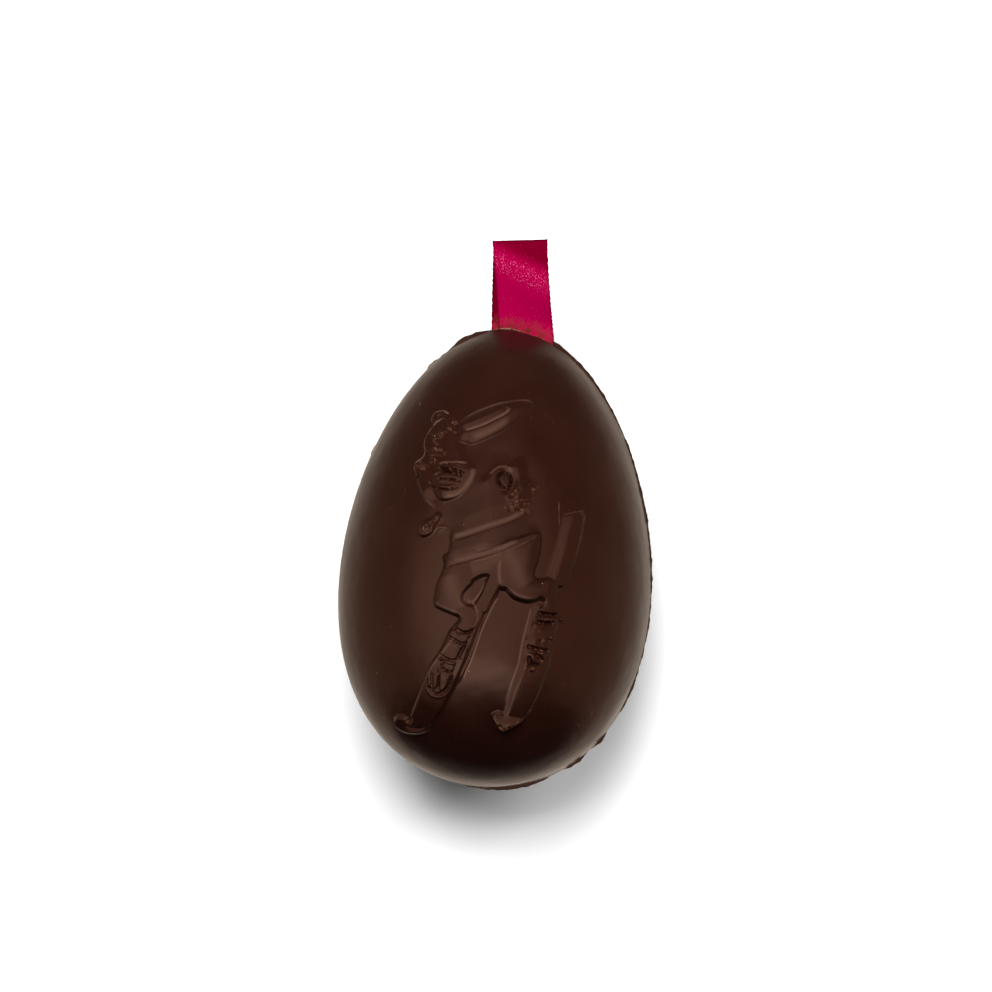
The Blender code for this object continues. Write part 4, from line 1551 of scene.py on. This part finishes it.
@dataclass
class RibbonLoop:
    """The hanging loop: one length of satin, doubled, its ends pinched in the seam.

    reach is how far the fold stands from the seam's rim, and tail how much of each end lies in the
    seam. The sways are how far each layer's foot and the fold lie aside, and twist how much one
    side of the band runs ahead of the other, in from the foot and out toward the fold. At its foot
    the band is pressed to thin_share of its thickness. bead is how much thicker the woven edges
    are, scallop the small waves of its edge, and from fold_from of the reach the fold gets painted
    shade, a darker colour where it turns away.
    """

    seam: float
    base: tuple[float, float] = (2.0 * MM, 47.4 * MM)
    lean: float = 5.1
    width: float = 10.0 * MM
    thickness: float = 0.2 * MM
    pinch: float = 0.07 * MM
    half_depth: float = 3.35 * MM
    reach: float = 17.55 * MM
    tail: float = 4.6 * MM
    lift_off: float = 1.0 * MM
    top_sway: float = -0.3 * MM
    front_sway: float = 0.45 * MM
    back_sway: float = -1.0 * MM
    twist: float = 0.38
    twist_in: float = 0.45
    twist_out: float = 0.22
    thin_share: float = 0.55
    grow_share: float = 0.45
    thin_reach: float = 2.0 * MM
    bead: float = 0.5
    bead_from: float = 0.46
    bead_blend: float = 0.03
    edge_from: float = 0.49
    scallop: float = 0.07 * MM
    scallop_pitch: float = 1.1 * MM
    # from this share of the reach on, the fold gets painted shade
    fold_from: float = 0.972
    fold_blend: float = 0.01
    threads: int = 26

    def side(self) -> np.ndarray:
        """One leg's middle line from its tail to the fold, as rows of (along, out).

        Returns:
            The line's points, one row each.
        """
        bow_start = self.reach - self.half_depth
        run = self.tail + self.lift_off
        line = [(-self.tail + run * index / 6, self.pinch) for index in range(6)]
        for index in range(30):
            share = index / 30
            out = self.pinch + (self.half_depth - self.pinch) * math.sin(share * math.pi / 2) ** 1.5
            line.append((self.lift_off + (bow_start - self.lift_off) * share, out))
        for index in range(13):
            turn = math.pi / 2 * index / 12
            line.append((bow_start + self.half_depth * math.sin(turn),
                         self.half_depth * math.cos(turn)))
        return np.array(line)

    def line(self) -> tuple[np.ndarray, np.ndarray]:
        """The whole middle line from the back tail to the front one, and its sideways sway.

        Returns:
            The points of the line as rows of (along, out), and how far each is swayed.
        """
        front = self.side()
        share = np.clip(front[:, 0] / self.reach, 0.0, 1.0)
        back = front[:-1] * (1.0, -1.0)
        back_sway = self.back_sway + (self.top_sway - self.back_sway) * share[:-1]
        front_sway = self.front_sway + (self.top_sway - self.front_sway) * share
        return np.vstack([back, front[::-1]]), np.concatenate([back_sway, front_sway[::-1]])

    def cross_section(self) -> np.ndarray:
        """The band's outline across its width: rows of (offset, side), the selvedges thicker.

        Returns:
            The points of the outline, one row each.
        """
        offset = np.linspace(-0.5, 0.5, self.threads) * self.width
        inward = np.abs(offset) - self.bead_from * self.width
        bead = 1.0 + self.bead * smoothstep(inward / (self.bead_blend * self.width))
        top = np.stack([offset, bead], -1)
        return np.vstack([top, top[::-1] * (1.0, -1.0)])

    def build(self) -> bpy.types.Object:
        """Returns:
            The ribbon, dressed and declared.
        """
        line, sway = self.line()
        run = np.concatenate([[0.0], np.cumsum(np.hypot(*np.diff(line, axis=0).T))])
        way = np.gradient(line, axis=0)
        way /= np.hypot(way[:, 0], way[:, 1])[:, None]
        normal = np.stack([-way[:, 1], way[:, 0]], -1)
        section = self.cross_section()
        share = np.clip(line[:, 0] / self.reach, 0.0, 1.0)
        grown = smoothstep(line[:, 0] / self.thin_reach)
        thick = self.thickness / 2 * (self.thin_share + self.grow_share * grown)
        twist = self.twist * smoothstep(share / self.twist_in)
        twist = twist * smoothstep((1.0 - share) / self.twist_out)
        edge = np.abs(section[:, 0]) > self.edge_from * self.width
        wave = np.sin(math.tau * run / self.scallop_pitch)[:, None] * self.scallop * edge
        offset = section[:, 0] + np.sign(section[:, 0]) * wave
        along = line[:, :1] + normal[:, :1] * thick[:, None] * section[:, 1]
        along = along - twist[:, None] * offset
        out = line[:, 1:] + normal[:, 1:] * thick[:, None] * section[:, 1]
        aside = offset + sway[:, None]
        turn = math.radians(self.lean)
        points = np.stack([
            self.base[0] + aside * math.cos(turn) - along * math.sin(turn),
            self.base[1] + aside * math.sin(turn) + along * math.cos(turn),
            self.seam + out,
        ], -1)
        rows, columns = aside.shape
        faces = [tuple(face) for face in grid_faces(rows, columns, wrap=True)]
        for start in (0, (rows - 1) * columns):
            for index in range(self.threads - 1):
                cap = (start + index, start + index + 1, start + columns - 2 - index,
                       start + columns - 1 - index)
                faces.append(cap if start == 0 else cap[::-1])
        made = mesh_object("satin_loop", points.reshape(-1, 3), faces, crisp=60.0)
        # painted shade over the fold, joined with the woven edges' mask
        fold = smoothstep((line[:, 0] / self.reach - self.fold_from) / self.fold_blend)
        add_values(made, "edge_and_fold_shade", np.maximum(edge[None, :], fold[:, None]))
        made.data.materials.append(SatinWeave(self.seam).material())
        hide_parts("ribbon_loop")
        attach(made, BODY)
        return made


# ---------------------------------------------------------------- studio


@dataclass(frozen=True)
class SoftBox:
    """A square soft box that lights matt surfaces and stays out of the gloss.

    place is its middle and size its side, in metres; radiance is how bright its face is.
    """

    name: str
    place: tuple[float, float, float]
    size: float
    radiance: float

    def hang(self, target: Vector) -> None:
        """Hang the lamp so that it faces the target.

        Args:
            target: The point that it faces.
        """
        lamp = bpy.data.lights.new(self.name, "AREA")
        lamp.shape = "SQUARE"
        lamp.size = self.size
        lamp.energy = self.radiance * math.pi * self.size * self.size
        made = bpy.data.objects.new(self.name, lamp)
        made.location = self.place
        made.rotation_euler = (target - made.location).to_track_quat("-Z", "Y").to_euler()
        made.visible_camera = False
        made.visible_glossy = False
        bpy.context.scene.collection.objects.link(made)


@dataclass
class Studio:
    """The pale table, the soft lights and the camera above the egg.

    The camera looks at aim, on the seam's level, from a distance. lean is how far it stands to the
    right and toward the ribbon, and roll its turn about its own axis, in degrees.
    """

    seam: float
    distance: float = 450 * MM
    view_width: float = 183.56 * MM
    film_mm: float = 36.0
    aim: tuple[float, float] = (-1.24 * MM, 17.57 * MM)
    lean: tuple[float, float] = (2.0, 2.5)
    roll: float = 3.707
    table_half: float = 0.6
    board: tuple[float, float, float, float] = (0.96, 0.96, 0.96, 1.0)
    lamp_tint: str = "#FFF5F2"
    wall_tint: str = "#FFD2B4"
    table_tint: str = "#FFEBD8"
    table_glow: float = 0.56
    boxes: tuple[SoftBox, ...] = (
        SoftBox("key", (-0.13, 0.555, 1.11), 0.5, 26.0),
        SoftBox("fill", (0.665, 0.576, 0.889), 0.5, 10.5),
        SoftBox("top", (-0.3, 0.5, 1.4), 2.0, 0.5),
    )

    def camera(self) -> None:
        """Put the camera above the egg, its top to the ribbon."""
        back = Vector((*(math.sin(math.radians(tilt)) for tilt in self.lean), 1.0))
        back.normalize()
        up = Vector((0.0, 1.0, 0.0))
        up = (up - back * up.dot(back)).normalized()
        right = up.cross(back)
        turn = math.radians(self.roll)
        top = up * math.cos(turn) - right * math.sin(turn)
        side = right * math.cos(turn) + up * math.sin(turn)
        lens = bpy.data.cameras.new("camera")
        lens.sensor_width = self.film_mm
        lens.lens = self.film_mm * self.distance / self.view_width
        lens.clip_start = 0.01
        eye = bpy.data.objects.new("camera", lens)
        place = Vector((*self.aim, self.seam)) + back * self.distance
        axes = Matrix((side, top, back)).transposed().to_4x4()
        eye.matrix_world = Matrix.Translation(place) @ axes
        bpy.context.scene.collection.objects.link(eye)
        bpy.context.scene.camera = eye

    def table(self) -> None:
        """Lay the pale table under the egg: a matt board that the gloss doesn't show."""
        corners = [(-1.0, -1.0, 0.0), (1.0, -1.0, 0.0), (1.0, 1.0, 0.0), (-1.0, 1.0, 0.0)]
        points = self.table_half * np.array(corners)
        floor = mesh_object("table", points, [(0, 1, 2, 3)])
        made, tree, shader = new_material("white_board")
        fill_sockets(tree, shader, {
            "Base Color": self.board, "Roughness": 1.0, "Specular IOR Level": 0.0})
        floor.data.materials.append(made)
        floor.visible_glossy = False

    def lobe(self, tree: bpy.types.NodeTree, way: Source, aim: tuple[float, float, float],
             inner: float, outer: float, level: float) -> Source:
        """A round patch of the room that glows and fades outward.

        Args:
            tree: The room's node tree.
            way: The direction looked in.
            aim: The direction of the patch's middle.
            inner: How many degrees from the middle it begins to fade.
            outer: How many degrees from the middle it ends.
            level: Its brightness.

        Returns:
            The patch's brightness in each direction.
        """
        near = add_node(tree, "VectorMath", {"operation": "DOT_PRODUCT"}, [
            way, Vector(aim).normalized()])
        return add_node(tree, "MapRange", EASED, [
            near, math.cos(math.radians(outer)), math.cos(math.radians(inner)), 0.0, level])

    def room(self) -> None:
        """Surround the egg with soft light as its gloss sees it.

        A broad bright ceiling, a brighter strip of it toward the egg's foot with the dark of the
        room beyond, warm walls that dim toward the ribbon's side, and the pale table below.
        """
        made = bpy.data.worlds.new("room")
        made.use_nodes = True
        tree = made.node_tree
        way = add_node(tree, "TexCoord").outputs["Generated"]
        parts = add_node(tree, "SeparateXYZ", None, [way])
        side, length, height = (parts.outputs[axis] for axis in ("X", "Y", "Z"))
        foot = add_node(tree, "MapRange", EASED, [length, -0.74, -0.5])
        ceiling = product(tree, foot, self.lobe(tree, way, (-0.16, 0.02, 1.0), 16.0, 62.0, 0.75))
        left = product(tree, foot, self.lobe(tree, way, (-0.75, -0.1, 0.9), 8.0, 30.0, 0.26))
        strip_edges = ([length, -0.72, -0.6], [length, -0.36, -0.5], [side, -0.75, -0.4],
                       [side, 0.45, 0.15], [height, 0.0, 0.2, 0.0, 1.5])
        strip = product(tree, *(add_node(tree, "MapRange", EASED, edge) for edge in strip_edges))
        dim = add_node(tree, "MapRange", EASED, [length, -0.1, 0.8, 0.42, 0.15])
        walls = product(tree, foot, dim)
        white = add_node(tree, "Math", {"operation": "ADD"}, [ceiling, left])
        white = add_node(tree, "Math", {"operation": "ADD"}, [white, strip])
        lamp = add_node(tree, "Emission", None, [linear(self.lamp_tint), white])
        wall = add_node(tree, "Emission", None, [linear(self.wall_tint), walls])
        below = add_node(tree, "Emission", None, [linear(self.table_tint), self.table_glow])
        above = add_node(tree, "AddShader", None, [lamp, wall])
        down = add_node(tree, "MapRange", EASED, [height, -0.3, -0.92])
        both = add_node(tree, "MixShader", None, [down, above, below])
        fill_sockets(tree, tree.nodes["World Output"], {"Surface": both})
        made.cycles_visibility.diffuse = False
        bpy.context.scene.world = made

    def build(self) -> None:
        """Set up the table, the lights, the camera and the view."""
        self.camera()
        self.table()
        for box in self.boxes:
            box.hang(Vector((0.0, 0.0, self.seam)))
        self.room()
        settings = bpy.context.scene.view_settings
        settings.view_transform = "Standard"
        settings.look = "None"


def main() -> None:
    """Load the frame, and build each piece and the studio."""
    logging.basicConfig(level=logging.INFO, format="%(name)s: %(message)s")
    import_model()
    seam = (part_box("shell_back")[1].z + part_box("shell_front")[0].z) / 2
    pieces = [
        FrontHalf(EggMould.of_node("shell_front", seam)),
        BackHalf(EggMould.of_node("shell_back", seam)),
        RibbonLoop(seam),
    ]
    for piece in pieces:
        made = piece.build()
        log.info("%s: %d faces", made.name, len(made.data.polygons))
    Studio(seam).build()


if __name__ == "__main__":
    main()
